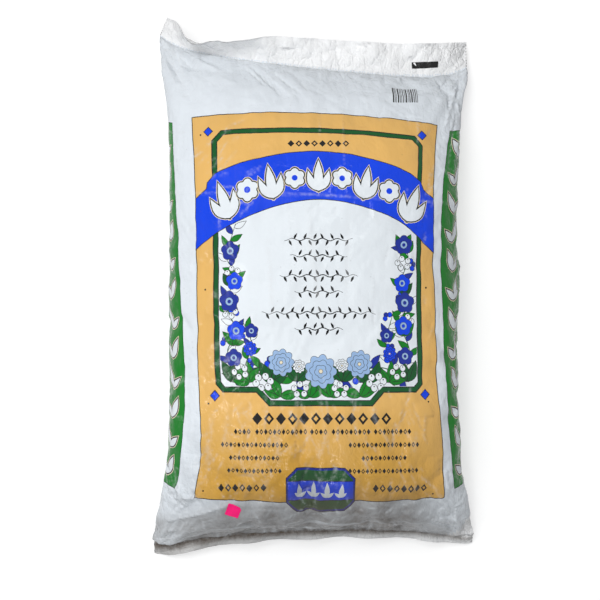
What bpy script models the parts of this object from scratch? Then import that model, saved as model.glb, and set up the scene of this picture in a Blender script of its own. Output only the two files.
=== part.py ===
"""A filled pillow bag of peat moss, lying on its back, with a paper price label stuck to its front.

The bag is one tube of film, heat-sealed straight across at its foot and its head. It is described by its
flat pattern: a place on the film is u, across the bag from its middle, and t, along it from the foot edge.
Filling the tube curves the pattern, and the film doesn't stretch: every cross-section keeps the tube's
girth, and every lengthwise line keeps its length, so the seals are drawn in at their middle and the four
corners stand out as ears. X runs across the bag, Y from foot to head and Z up from the floor.
"""

import math

import bmesh
import bpy
import numpy as np
from mathutils import Vector
from mathutils.bvhtree import BVHTree

# The film tube as it lies flat and empty
FLAT_WIDTH = 0.444
FLAT_LENGTH = 0.762
FOOT_FIN = 0.012
HEAD_FIN = 0.047
HEAD_CUT_SLANT = 0.013
HEAD_SEAL_SLANT = 0.045
FOOT_SEAL_SLANT = 0.014
SEAL_GATHER = 0.036
HEAD_EAR_REACH = 0.018
HEAD_EAR_WIDTH = 0.022
FRONT_TIGHTNESS = 0.53
SEAL_THICKNESS = 0.0010

# How the peat fills it
CROWN_HEIGHT = 0.142
HEAD_CROWN_LOSS = 0.014
SIDE_HEIGHT = 0.062
FLOOR_SINK = 0.007
FOOT_TAPER = 0.205
HEAD_TAPER = 0.265
BELLY_TAPER = 0.130
FOOT_SEAL_HEIGHT = 0.034
HEAD_SEAL_HEIGHT = 0.040
CORNER_DROOP = 0.024
TAPER_POWER = 2.0
CROWN_SQUARENESS = 2.15
BELLY_SQUARENESS = 2.6

# The loose fins past the seals: how steeply they leave them, in degrees above level
FOOT_FIN_ANGLE = -24.0
HEAD_FIN_ANGLE = 12.0
CURL_ANGLE = 84.0
CURL_FROM_LEFT = 0.044
CURL_LEFT_WIDTH = 0.021
CURL_RIGHT_WIDTH = 0.115
CORNER_LEAN = 0.011
CORNER_LEAN_WIDTH = 0.030
CORNER_LOSS = 0.27
CORNER_LOSS_WIDTH = 0.020
FIN_RIPPLE = 0.0030
FIN_RIPPLE_LENGTH = 0.085

# The paper price label on the front
LABEL_WIDTH = 0.0185
LABEL_HEIGHT = 0.0170
LABEL_THICKNESS = 0.0003
LABEL_CORNER_CUT = 0.003
LABEL_GAP = 0.0003
LABEL_TURN = -20.0
LABEL_FROM_LEFT = 0.116
LABEL_FROM_FOOT = 0.0733
LABEL_RINGS = 5
LABEL_EDGE_STEPS = 4

# The grid that the film is modelled on
COLUMNS = 40
FOOT_FIN_STEPS = 2
HEAD_FIN_STEPS = 5
BODY_ROWS = 50
SECTION_STEPS = 160
HALF_WIDTH = FLAT_WIDTH / 2

# Broad folds pressed into the filled film, each from one end to the other. An end is (from which side,
# how far in from it, from which seal, how far in from it), and the last two numbers are depth and half-width.
# Near the floor, below FOLD_FREE_HEIGHT, a fold fades out.
FOLD_FREE_HEIGHT = 0.008
LEFT, RIGHT, FOOT, HEAD = -1, 1, 0, 1
FRONT_FOLDS = (
    ((LEFT, 0.000, FOOT, 0.004), (LEFT, 0.085, FOOT, 0.105), 0.0060, 0.014),
    ((RIGHT, 0.000, FOOT, 0.004), (RIGHT, 0.070, FOOT, 0.085), 0.0075, 0.013),
    ((LEFT, 0.000, HEAD, 0.004), (LEFT, 0.080, HEAD, 0.110), 0.0050, 0.015),
    ((RIGHT, 0.000, HEAD, 0.004), (RIGHT, 0.060, HEAD, 0.120), 0.0065, 0.014),
    ((LEFT, 0.130, HEAD, 0.010), (LEFT, 0.185, HEAD, 0.070), 0.0035, 0.011),
    ((LEFT, 0.170, HEAD, 0.004), (LEFT, 0.235, HEAD, 0.062), 0.0030, 0.010),
    ((LEFT, 0.045, FOOT, 0.180), (LEFT, 0.105, FOOT, 0.090), 0.0028, 0.014),
    ((RIGHT, 0.028, FOOT, 0.250), (RIGHT, 0.040, FOOT, 0.120), 0.0035, 0.013),
    ((RIGHT, 0.030, HEAD, 0.180), (RIGHT, 0.026, HEAD, 0.300), 0.0030, 0.013),
    ((LEFT, 0.140, FOOT, 0.014), (LEFT, 0.148, FOOT, 0.140), 0.0032, 0.012),
    ((LEFT, 0.213, FOOT, 0.030), (LEFT, 0.209, FOOT, 0.205), 0.0034, 0.012),
    ((RIGHT, 0.166, FOOT, 0.012), (RIGHT, 0.160, FOOT, 0.150), 0.0030, 0.012),
    ((RIGHT, 0.104, FOOT, 0.026), (RIGHT, 0.112, FOOT, 0.170), 0.0028, 0.012),
)
BACK_FOLDS = (
    ((LEFT, 0.000, FOOT, 0.004), (LEFT, 0.075, FOOT, 0.090), 0.0050, 0.014),
    ((RIGHT, 0.000, FOOT, 0.004), (RIGHT, 0.080, FOOT, 0.095), 0.0050, 0.014),
    ((LEFT, 0.000, HEAD, 0.004), (LEFT, 0.070, HEAD, 0.100), 0.0050, 0.014),
    ((RIGHT, 0.000, HEAD, 0.004), (RIGHT, 0.075, HEAD, 0.090), 0.0050, 0.014),
)


def clear_scene():
    """Removes the objects that the file opens with."""
    for found in list(bpy.data.objects):
        bpy.data.objects.remove(found)


def head_seal(u):
    """How far along the film the head seal lies at u: it was made a little askew."""
    return FLAT_LENGTH - HEAD_FIN - HEAD_SEAL_SLANT * (0.5 + u / FLAT_WIDTH)


def foot_seal(u):
    """How far along the film the foot seal lies at u, askew too."""
    return FOOT_FIN + FOOT_SEAL_SLANT * (0.5 + u / FLAT_WIDTH)


def rising(distance, taper):
    """From 0 at a seal to 1 a taper's length from it, steepest at the seal."""
    share = min(max(distance / taper, 0.0), 1.0)
    return 1.0 - (1.0 - share) ** TAPER_POWER


def end_shares(v):
    """How full the crown and the belly are at v, from 0 at the foot seal to 1 at the head seal."""
    length = head_seal(0.0) - foot_seal(0.0)
    foot, head = v * length, (1.0 - v) * length
    crown = rising(foot, FOOT_TAPER) * rising(head, HEAD_TAPER)
    belly = rising(foot, BELLY_TAPER) * rising(head, BELLY_TAPER)
    return crown, belly


def half_section(half_width, rise, drop):
    """The right half of a cross-section, from the middle of its crown down to the middle of its belly.

    It is two quarter superellipses that meet at the widest point, at height 0.
    """
    turn = np.linspace(math.pi / 2, -math.pi / 2, SECTION_STEPS)
    upper = turn >= 0
    squareness = np.where(upper, CROWN_SQUARENESS, BELLY_SQUARENESS)
    across = half_width * np.abs(np.cos(turn)) ** (2 / squareness)
    up = np.abs(np.sin(turn)) ** (2 / squareness)
    return np.stack([across, np.where(upper, rise * up, -drop * up)], axis=1)


def arc_lengths(line):
    """The distance along a polyline at each of its points."""
    steps = np.linalg.norm(np.diff(line, axis=0), axis=1)
    return np.concatenate([[0.0], np.cumsum(steps)])


def girth_section(rise, drop):
    """The half-section of this rise and drop whose length is the film's own: it narrows as it fills."""
    narrow, wide = 0.3 * HALF_WIDTH, HALF_WIDTH
    for _ in range(40):
        middle = (narrow + wide) / 2
        if arc_lengths(half_section(middle, rise, drop))[-1] > FLAT_WIDTH:
            wide = middle
        else:
            narrow = middle
    return half_section(narrow, rise, drop)


def seal_droop(u, fullness):
    """How far the unfilled film sags towards its corners, which lie near the floor."""
    return CORNER_DROOP * (u / HALF_WIDTH) ** 2 * (1.0 - fullness)


def station(v):
    """The front and back film at v: heights and places across, at even steps of u."""
    crown_share, belly_share = end_shares(v)
    seal_height = FOOT_SEAL_HEIGHT + (HEAD_SEAL_HEIGHT - FOOT_SEAL_HEIGHT) * v
    side_height = seal_height + (SIDE_HEIGHT - seal_height) * crown_share
    crown = CROWN_HEIGHT - HEAD_CROWN_LOSS * v
    rise = (crown - side_height) * crown_share
    drop = side_height * belly_share + FLOOR_SINK * belly_share
    half = girth_section(rise, drop)
    along = arc_lengths(half)
    along *= FLAT_WIDTH / along[-1]
    u = np.linspace(-HALF_WIDTH, HALF_WIDTH, COLUMNS + 1)
    found = []
    for distance in (np.abs(u), FLAT_WIDTH - np.abs(u)):
        gathered = 1.0 - SEAL_GATHER * (1.0 - crown_share)
        across = np.sign(u) * np.interp(distance, along, half[:, 0]) * gathered
        height = side_height + np.interp(distance, along, half[:, 1])
        height = height - seal_droop(u, crown_share)
        found.append((across, np.maximum(height, 0.0)))
    return u, found[0], found[1]


def lengthwise(across, height, t):
    """Places along Y that keep each lengthwise line of film at its flat length, from the middle out."""
    run = np.diff(t, axis=0) ** 2 - np.diff(across, axis=0) ** 2 - np.diff(height, axis=0) ** 2
    run = np.sqrt(np.maximum(run, (0.2 * np.diff(t, axis=0)) ** 2))
    y = np.concatenate([np.zeros((1, run.shape[1])), np.cumsum(run, axis=0)])
    middle = y.shape[0] // 2
    return y - y[middle] + t[middle]


def stretched(y, low, high):
    """The places y of each lengthwise line, spread evenly so that they run from low to high."""
    return low + (y - y[0]) * (high - low) / (y[-1] - y[0])


def fold_end(end):
    """The u and t of a fold's end."""
    side, inward, seal, away = end
    u = side * (HALF_WIDTH - inward)
    t = foot_seal(u) + away if seal == FOOT else head_seal(u) - away
    return np.array([u, t])


def fold_depth(folds, u, t):
    """How deep the folds press the film in at u, t."""
    depth = np.zeros_like(t)
    for start, end, deep, half_width in folds:
        a, b = fold_end(start), fold_end(end)
        line = b - a
        share = ((u - a[0]) * line[0] + (t - a[1]) * line[1]) / line.dot(line)
        near = np.clip(share, 0.0, 1.0)
        away = np.hypot(u - a[0] - near * line[0], t - a[1] - near * line[1])
        fade = np.sin(math.pi * np.clip(0.15 + 0.7 * near, 0.0, 1.0))
        depth += deep * fade * np.exp(-((away / half_width) ** 2))
    return depth


def row_shares():
    """Where each row of the film lies between the seals, from 0 to 1, closer together near them."""
    steps = np.linspace(0.0, 1.0, BODY_ROWS + 1)
    return 0.5 * steps + 0.25 * (1.0 - np.cos(math.pi * steps))


def filled_film():
    """The front and back of the film between the seals, as rows of points."""
    v = row_shares()
    stations = [station(share) for share in v]
    u = np.tile(stations[0][0], (len(v), 1))
    t = foot_seal(u) + v[:, None] * (head_seal(u) - foot_seal(u))
    faces = []
    for side in (1, 2):
        across = np.array([found[side][0] for found in stations])
        height = np.array([found[side][1] for found in stations])
        faces.append([across, lengthwise(across, height, t), height])
    front_y, back_y = faces[0][1], faces[1][1]
    seals = FRONT_TIGHTNESS * front_y[[0, -1]] + (1.0 - FRONT_TIGHTNESS) * back_y[[0, -1]]
    foot, head = seals[0], seals[1] + ear_reach(u[0])
    for face, folds, outward in zip(faces, (FRONT_FOLDS, BACK_FOLDS), (1, -1)):
        face[1] = stretched(face[1], foot, head)
        fade = np.sin(math.pi * v)[:, None] ** 0.4 * np.clip(face[2] / FOLD_FREE_HEIGHT, 0.0, 1.0)
        face[2] = np.maximum(face[2] - outward * fold_depth(folds, u, t) * fade, 0.0)
    return [np.stack(face, axis=2) for face in faces]


def ear_reach(u):
    """How much further the head seal's corners stand out, at each column."""
    return HEAD_EAR_REACH * np.exp(-(HALF_WIDTH - np.abs(u)) / HEAD_EAR_WIDTH)


def fin_rows(seal, length, rows, outward, angles, lean):
    """Rows of points on a loose fin past the seal line, at the given angles and lean, with a soft ripple.

    Its corners are crumpled, so they reach out less.
    """
    u = np.linspace(-HALF_WIDTH, HALF_WIDTH, COLUMNS + 1)
    length = length * (1.0 - CORNER_LOSS * np.exp(-(HALF_WIDTH - np.abs(u)) / CORNER_LOSS_WIDTH))
    found = []
    for row in range(1, rows + 1):
        share = row / rows
        reach = length * share
        turn = np.radians(angles * (0.55 + 0.45 * share))
        ripple = FIN_RIPPLE * share * np.sin(2 * math.pi * u / FIN_RIPPLE_LENGTH + 2.0 * share)
        line = seal.copy()
        line[:, 0] += lean * share
        line[:, 1] += outward * reach * np.cos(turn)
        line[:, 2] += reach * np.sin(turn) + ripple
        line[:, 2] = np.maximum(line[:, 2], SEAL_THICKNESS / 2)
        found.append(line)
    return found


def fin_angles():
    """How the fins leave their seals at each column: the foot's and the head's angle, and the head's lean."""
    u = np.linspace(-HALF_WIDTH, HALF_WIDTH, COLUMNS + 1)
    away = u + HALF_WIDTH - CURL_FROM_LEFT
    curl = np.exp(-((away / np.where(away < 0, CURL_LEFT_WIDTH, CURL_RIGHT_WIDTH)) ** 2))
    foot = np.full_like(u, FOOT_FIN_ANGLE)
    head = HEAD_FIN_ANGLE + (CURL_ANGLE - HEAD_FIN_ANGLE) * curl
    return foot, head, CORNER_LEAN * np.exp(-(u + HALF_WIDTH) / CORNER_LEAN_WIDTH)


def film_faces():
    """The whole front and back of the film, fins too, as rows of points a seal's thickness apart."""
    front, back = filled_film()
    foot_line = (front[0] + back[0]) / 2
    head_line = (front[-1] + back[-1]) / 2
    foot_angles, head_angles, lean = fin_angles()
    foot = fin_rows(foot_line, FOOT_FIN, FOOT_FIN_STEPS, -1, foot_angles, 0.0)[::-1]
    u = np.linspace(-HALF_WIDTH, HALF_WIDTH, COLUMNS + 1)
    head_length = HEAD_FIN - HEAD_CUT_SLANT * (0.5 - u / FLAT_WIDTH)
    head = fin_rows(head_line, head_length, HEAD_FIN_STEPS, 1, head_angles, lean)
    layer = np.array([0.0, 0.0, SEAL_THICKNESS / 2])
    top = np.array([*foot, foot_line, *front[1:-1], head_line, *head]) + layer
    under = np.array([*foot, foot_line, *back[1:-1], head_line, *head]) - layer
    under[..., 2] = np.maximum(under[..., 2], 0.0)
    top[..., 2] = np.maximum(top[..., 2], under[..., 2] + SEAL_THICKNESS)
    return top, under


def centred(top, under):
    """Both faces moved so that their box is centred over the origin."""
    every = np.concatenate([top.reshape(-1, 3), under.reshape(-1, 3)])
    middle = (every.min(axis=0) + every.max(axis=0)) / 2
    shift = np.array([middle[0], middle[1], 0.0])
    return top - shift, under - shift


def material(name, colour, roughness):
    """A plain material of one colour and roughness."""
    made = bpy.data.materials.new(name)
    made.use_nodes = True
    shader = made.node_tree.nodes["Principled BSDF"]
    shader.inputs["Base Color"].default_value = (*colour, 1.0)
    shader.inputs["Roughness"].default_value = roughness
    shader.inputs["Metallic"].default_value = 0.0
    return made


def solid_object(name, points, faces, finish):
    """A named object of these points and faces, its normals made to face out and its curves smooth."""
    mesh = bpy.data.meshes.new(name)
    mesh.from_pydata([tuple(point) for point in points], [], faces)
    work = bmesh.new()
    work.from_mesh(mesh)
    bmesh.ops.triangulate(work, faces=work.faces)
    bmesh.ops.recalc_face_normals(work, faces=work.faces)
    work.to_mesh(mesh)
    work.free()
    mesh.shade_smooth()
    mesh.set_sharp_from_angle(angle=math.radians(40))
    mesh.materials.append(finish)
    made = bpy.data.objects.new(name, mesh)
    bpy.context.scene.collection.objects.link(made)
    return made


def loop_faces(rows, loop):
    """Faces of a tube of rows, each a closed loop of points, with a strip of faces across each end."""
    faces = []
    for row in range(rows - 1):
        low, high = row * loop, (row + 1) * loop
        for place in range(loop):
            after = (place + 1) % loop
            faces.append((low + place, low + after, high + after, high + place))
    for base, flip in ((0, True), ((rows - 1) * loop, False)):
        for place in range(loop // 2 - 1):
            strip = (base + place, base + place + 1, base + loop - 2 - place, base + loop - 1 - place)
            faces.append(strip[::-1] if flip else strip)
    return faces


def make_bag(top, under):
    """The sealed bag with its peat: one closed solid, of front and back film joined at the sides."""
    loops = np.concatenate([top, under[:, ::-1]], axis=1)
    rows, loop = loops.shape[:2]
    film = material("film", (0.74, 0.78, 0.82), 0.32)
    return solid_object("filled_bag", loops.reshape(-1, 3), loop_faces(rows, loop), film)


def front_place(top, u, t):
    """A point of the front film at u, t, read between the rows and columns of the grid."""
    column = (u + HALF_WIDTH) / FLAT_WIDTH * COLUMNS
    v = (t - foot_seal(u)) / (head_seal(u) - foot_seal(u))
    row = FOOT_FIN_STEPS + np.interp(v, row_shares(), np.arange(BODY_ROWS + 1))
    low_row, low_column = int(row), int(column)
    r, c = row - low_row, column - low_column
    near = top[low_row, low_column] * (1 - c) + top[low_row, low_column + 1] * c
    far = top[low_row + 1, low_column] * (1 - c) + top[low_row + 1, low_column + 1] * c
    return near * (1 - r) + far * r


def label_outline():
    """The label's outline, from its middle: a rectangle with one corner torn off, turned a little."""
    w, h, cut = LABEL_WIDTH / 2, LABEL_HEIGHT / 2, LABEL_CORNER_CUT
    corners = [(-w, -h), (w, -h), (w, h - cut), (w - cut, h), (-w + cut / 2, h), (-w, h - cut / 2)]
    turn = math.radians(LABEL_TURN)
    spin = np.array([[math.cos(turn), math.sin(turn)], [-math.sin(turn), math.cos(turn)]])
    placed = np.array(corners) @ spin
    shares = np.arange(LABEL_EDGE_STEPS)[:, None] / LABEL_EDGE_STEPS
    return np.concatenate([a + shares * (b - a) for a, b in zip(placed, np.roll(placed, -1, axis=0))])


def make_label(bag, top):
    """The price label: a thin sheet that follows the film below it, a hair's gap above."""
    surface = BVHTree.FromPolygons(
        [vertex.co for vertex in bag.data.vertices], [tuple(face.vertices) for face in bag.data.polygons]
    )
    outline = label_outline()
    rings = [outline * (1 - ring / LABEL_RINGS) for ring in range(LABEL_RINGS)]
    under, over = [], []
    for x, y in np.concatenate([*rings, np.zeros((1, 2))]):
        above = Vector(front_place(top, LABEL_FROM_LEFT - HALF_WIDTH + x, FOOT_FIN + LABEL_FROM_FOOT + y))
        met, normal, _, _ = surface.find_nearest(above)
        under.append(met + normal * LABEL_GAP)
        over.append(met + normal * (LABEL_GAP + LABEL_THICKNESS))
    count, around = len(under), len(outline)
    faces = [(k, (k + 1) % around, count + (k + 1) % around, count + k) for k in range(around)]
    for base in (0, count):
        for k in range(around):
            after = (k + 1) % around
            for ring in range(base, base + (LABEL_RINGS - 1) * around, around):
                faces.append((ring + k, ring + after, ring + around + after, ring + around + k))
            last = base + (LABEL_RINGS - 1) * around
            faces.append((last + k, last + after, base + count - 1))
    paper = material("label_paper", (0.95, 0.02, 0.30), 0.6)
    return solid_object("price_label", under + over, faces, paper)


def main():
    """Builds the bag and its label."""
    clear_scene()
    top, under = centred(*film_faces())
    bag = make_bag(top, under)
    make_label(bag, top)


main()
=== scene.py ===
"""A filled bag of peat moss, dressed as it lies on its back in the studio.

The film is one tube. A place on it is s, round the tube from the middle of its back with the middle of
its front at 0, and t, along it from the foot's cut edge. Filling the tube curves it without stretching:
the loft below keeps its girth and its length, cloth relaxes that shape into soft wrinkles, and sharp
creases and crumpled facets are added last. The print is laid out flat and cut into the film's own mesh.
"""

from __future__ import annotations

import logging
import math
from dataclasses import dataclass, field
from enum import Enum

import bpy
import numpy as np
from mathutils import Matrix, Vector
from mathutils.geometry import delaunay_2d_cdt
from mathutils.kdtree import KDTree

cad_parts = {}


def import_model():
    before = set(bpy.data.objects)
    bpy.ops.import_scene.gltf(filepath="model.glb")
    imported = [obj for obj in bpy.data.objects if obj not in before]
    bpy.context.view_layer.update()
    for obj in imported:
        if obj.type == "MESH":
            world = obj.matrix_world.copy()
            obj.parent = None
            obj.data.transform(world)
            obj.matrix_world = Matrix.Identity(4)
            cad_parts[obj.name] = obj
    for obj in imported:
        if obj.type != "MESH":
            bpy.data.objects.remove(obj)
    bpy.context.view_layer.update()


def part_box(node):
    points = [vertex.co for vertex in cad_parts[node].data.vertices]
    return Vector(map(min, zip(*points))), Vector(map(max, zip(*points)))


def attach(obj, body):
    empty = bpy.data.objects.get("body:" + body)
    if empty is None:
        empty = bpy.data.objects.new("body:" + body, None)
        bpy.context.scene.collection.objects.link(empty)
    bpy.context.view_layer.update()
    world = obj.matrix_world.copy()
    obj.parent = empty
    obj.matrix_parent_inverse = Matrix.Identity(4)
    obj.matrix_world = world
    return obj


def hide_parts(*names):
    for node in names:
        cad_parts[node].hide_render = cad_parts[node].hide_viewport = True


LOG = logging.getLogger("peat_bag")
MM = 0.001
Array = np.ndarray
Pair = tuple[Array, Array]
Table = tuple[tuple[float, ...], ...]
Point = tuple[float, float, float]
Socket = bpy.types.NodeSocket
Sockets = bpy.types.NodeOutputs
Inputs = dict[int | str, object]


def unit(vectors: Array, least: float = 1e-12) -> Array:
    """The vectors drawn out to length 1, where they are longer than the least."""
    return vectors / np.maximum(np.linalg.norm(vectors, axis=1, keepdims=True), least)


def cells_of(grid: Array) -> Array:
    """The four places round each cell of a grid of places, one row to a cell."""
    corners = [grid[:-1, :-1], grid[:-1, 1:], grid[1:, 1:], grid[1:, :-1]]
    return np.stack(corners, axis=2).reshape(-1, 4)


def in_scene(name: str, data: bpy.types.ID) -> bpy.types.Object:
    """A new object of this name and data, linked into the scene."""
    made = bpy.data.objects.new(name, data)
    bpy.context.scene.collection.objects.link(made)
    return made


class Side(Enum):
    """Which side of the flat film something lies on."""

    FRONT = 1
    BACK = -1


class Ink(Enum):
    """The colours that the film carries, each a material of its own."""

    BARE_FILM = 0
    LOOSE_FILM = 1
    KEY_LINE = 2
    SAND = 3
    HEDGE = 4
    MEADOW = 5
    RIBBON_BLUE = 6
    NAVY = 7
    PALE_BLUE = 8
    PAPER_WHITE = 9
    JET = 10
    CREAM = 11


@dataclass(frozen=True)
class FlatPattern:
    """The film tube as it lies flat and empty, in metres."""

    width: float = 0.444
    length: float = 0.762
    foot_fin: float = 0.012
    head_fin: float = 0.047
    head_cut_slant: float = 0.013
    head_slant: float = 0.045
    foot_slant: float = 0.014

    @property
    def half(self) -> float:
        """Half the width of the flat tube."""
        return self.width / 2

    @property
    def body(self) -> float:
        """The film's length between its seals, along its middle."""
        return float(self.head_seal(0.0) - self.foot_seal(0.0))

    @property
    def foot_row(self) -> float:
        """Where the foot seal lies in the straightened length q."""
        return self.foot_fin

    @property
    def head_row(self) -> float:
        """Where the head seal lies in the straightened length q."""
        return self.foot_fin + self.body

    @property
    def end_row(self) -> float:
        """Where the head's cut edge lies in the straightened length q."""
        return self.head_row + self.head_fin

    def foot_seal(self, u: Array | float) -> Array | float:
        """How far along the film the foot seal lies at u."""
        return self.foot_fin + self.foot_slant * (0.5 + u / self.width)

    def head_seal(self, u: Array | float) -> Array | float:
        """How far along the film the head seal lies at u."""
        return self.length - self.head_fin - self.head_slant * (0.5 + u / self.width)

    def across(self, s: Array) -> Array:
        """The place across the flat bag, u, of a place s round the tube."""
        return np.where(np.abs(s) <= self.half, s, np.sign(s) * (self.width - np.abs(s)))

    def straightened(self, s: Array, t: Array) -> Array:
        """The length along the film with both askew seals drawn straight.

        Args:
            s: Places round the tube.
            t: Places along it.

        Returns:
            q, which is foot_row on the foot seal and head_row on the head seal.
        """
        u = self.across(s)
        foot, head = self.foot_seal(u), self.head_seal(u)
        body = self.foot_row + (t - foot) / (head - foot) * self.body
        past_head = self.head_row + t - head
        return np.where(t < foot, self.foot_row + t - foot, np.where(t > head, past_head, body))


@dataclass
class FilledLoft:
    """The filled tube before it wrinkles: rows of points on its front and its back."""

    pattern: FlatPattern
    columns: int = 80
    rows: int = 132
    section_steps: int = 160
    crown_height: float = 0.142
    head_crown_loss: float = 0.014
    side_height: float = 0.062
    floor_sink: float = 0.007
    foot_taper: float = 0.205
    head_taper: float = 0.265
    belly_taper: float = 0.13
    foot_seal_height: float = 0.034
    head_seal_height: float = 0.04
    corner_droop: float = 0.024
    crown_squareness: float = 2.15
    belly_squareness: float = 2.6
    seal_gather: float = 0.036
    ear_reach: float = 0.018
    ear_width: float = 0.022
    front_tightness: float = 0.53
    fold_free_height: float = 0.008
    # Broad folds: side, inset from it, from the head or not and distance from that seal, then the same for
    # their other end, then depth and half-width
    front_folds: Table = (
        (-1, 0.0, 0, 0.004, -1, 0.085, 0, 0.105, 0.006, 0.014),
        (1, 0.0, 0, 0.004, 1, 0.07, 0, 0.085, 0.0075, 0.013),
        (-1, 0.0, 1, 0.004, -1, 0.08, 1, 0.11, 0.005, 0.015),
        (1, 0.0, 1, 0.004, 1, 0.06, 1, 0.12, 0.0065, 0.014),
        (-1, 0.13, 1, 0.01, -1, 0.185, 1, 0.07, 0.0035, 0.011),
        (-1, 0.17, 1, 0.004, -1, 0.235, 1, 0.062, 0.003, 0.01),
        (-1, 0.045, 0, 0.18, -1, 0.105, 0, 0.09, 0.0028, 0.014),
        (1, 0.028, 0, 0.25, 1, 0.04, 0, 0.12, 0.0035, 0.013),
        (1, 0.03, 1, 0.18, 1, 0.026, 1, 0.3, 0.003, 0.013),
        (-1, 0.14, 0, 0.014, -1, 0.148, 0, 0.14, 0.0032, 0.012),
        (-1, 0.213, 0, 0.03, -1, 0.209, 0, 0.205, 0.0034, 0.012),
        (1, 0.166, 0, 0.012, 1, 0.16, 0, 0.15, 0.003, 0.012),
        (1, 0.104, 0, 0.026, 1, 0.112, 0, 0.17, 0.0028, 0.012),
    )
    back_folds: Table = (
        (-1, 0.0, 0, 0.004, -1, 0.075, 0, 0.09, 0.005, 0.014),
        (1, 0.0, 0, 0.004, 1, 0.08, 0, 0.095, 0.005, 0.014),
        (-1, 0.0, 1, 0.004, -1, 0.07, 1, 0.1, 0.005, 0.014),
        (1, 0.0, 1, 0.004, 1, 0.075, 1, 0.09, 0.005, 0.014),
    )

    @staticmethod
    def rising(distance: float, taper: float) -> float:
        """From 0 at a seal to 1 a taper's length from it, steepest at the seal."""
        share = min(max(distance / taper, 0.0), 1.0)
        return 1.0 - (1.0 - share) ** 2

    def half_section(self, half_width: float, rise: float, drop: float) -> Array:
        """The right half of a cross-section, from the middle of the crown to the middle of the belly."""
        turn = np.linspace(math.pi / 2, -math.pi / 2, self.section_steps)
        upper = turn >= 0
        squareness = np.where(upper, self.crown_squareness, self.belly_squareness)
        across = half_width * np.abs(np.cos(turn)) ** (2 / squareness)
        up = np.abs(np.sin(turn)) ** (2 / squareness)
        return np.stack([across, np.where(upper, rise * up, -drop * up)], axis=1)

    @staticmethod
    def arc_lengths(line: Array) -> Array:
        """The distance along a polyline at each of its points."""
        steps = np.linalg.norm(np.diff(line, axis=0), axis=1)
        return np.concatenate([[0.0], np.cumsum(steps)])

    def girth_section(self, rise: float, drop: float) -> Array:
        """The half-section of this rise and drop whose length is the film's own."""
        narrow, wide = 0.3 * self.pattern.half, self.pattern.half
        for _ in range(40):
            middle = (narrow + wide) / 2
            if self.arc_lengths(self.half_section(middle, rise, drop))[-1] > self.pattern.width:
                wide = middle
            else:
                narrow = middle
        return self.half_section(narrow, rise, drop)

    def station(self, v: float) -> tuple[list[Array], list[Array]]:
        """The film's front and back at v, from 0 at the foot seal to 1 at the head seal.

        Args:
            v: The share of the way along the bag.

        Returns:
            For the front and then the back, the places across and the heights at even steps of u.
        """
        foot, head = v * self.pattern.body, (1.0 - v) * self.pattern.body
        crown_share = self.rising(foot, self.foot_taper) * self.rising(head, self.head_taper)
        belly_share = self.rising(foot, self.belly_taper) * self.rising(head, self.belly_taper)
        seal_height = self.foot_seal_height + (self.head_seal_height - self.foot_seal_height) * v
        side = seal_height + (self.side_height - seal_height) * crown_share
        rise = (self.crown_height - self.head_crown_loss * v - side) * crown_share
        half = self.girth_section(rise, (side + self.floor_sink) * belly_share)
        along = self.arc_lengths(half)
        along *= self.pattern.width / along[-1]
        u = np.linspace(-self.pattern.half, self.pattern.half, self.columns + 1)
        droop = self.corner_droop * (u / self.pattern.half) ** 2 * (1.0 - crown_share)
        found = []
        for distance in (np.abs(u), self.pattern.width - np.abs(u)):
            gathered = 1.0 - self.seal_gather * (1.0 - crown_share)
            across = np.sign(u) * np.interp(distance, along, half[:, 0]) * gathered
            height = side + np.interp(distance, along, half[:, 1]) - droop
            found.append([across, np.maximum(height, 0.0)])
        return found[0], found[1]

    def row_shares(self) -> Array:
        """Where each row of points lies between the seals, closer together near them."""
        steps = np.linspace(0.0, 1.0, self.rows + 1)
        return 0.5 * steps + 0.25 * (1.0 - np.cos(math.pi * steps))

    @staticmethod
    def lengthwise(across: Array, height: Array, t: Array) -> Array:
        """Places along Y that keep each lengthwise line of film at its flat length."""
        run = np.diff(t, axis=0) ** 2 - np.diff(across, axis=0) ** 2 - np.diff(height, axis=0) ** 2
        run = np.sqrt(np.maximum(run, (0.2 * np.diff(t, axis=0)) ** 2))
        y = np.concatenate([np.zeros((1, run.shape[1])), np.cumsum(run, axis=0)])
        middle = y.shape[0] // 2
        return y - y[middle] + t[middle]

    def fold_depth(self, folds: Table, u: Array, t: Array) -> Array:
        """How deep the broad folds press the film in at u, t."""
        pattern = self.pattern
        depth = np.zeros_like(t)
        for side_a, in_a, head_a, off_a, side_b, in_b, head_b, off_b, deep, half_width in folds:
            ends = []
            for side, inset, from_head, off in ((side_a, in_a, head_a, off_a), (side_b, in_b, head_b, off_b)):
                place = side * (pattern.half - inset)
                seal = pattern.head_seal(place) - off if from_head else pattern.foot_seal(place) + off
                ends.append(np.array([place, seal]))
            line = ends[1] - ends[0]
            share = ((u - ends[0][0]) * line[0] + (t - ends[0][1]) * line[1]) / line.dot(line)
            near = np.clip(share, 0.0, 1.0)
            away = np.hypot(u - ends[0][0] - near * line[0], t - ends[0][1] - near * line[1])
            depth += deep * np.sin(math.pi * (0.15 + 0.7 * near)) * np.exp(-((away / half_width) ** 2))
        return depth

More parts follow.
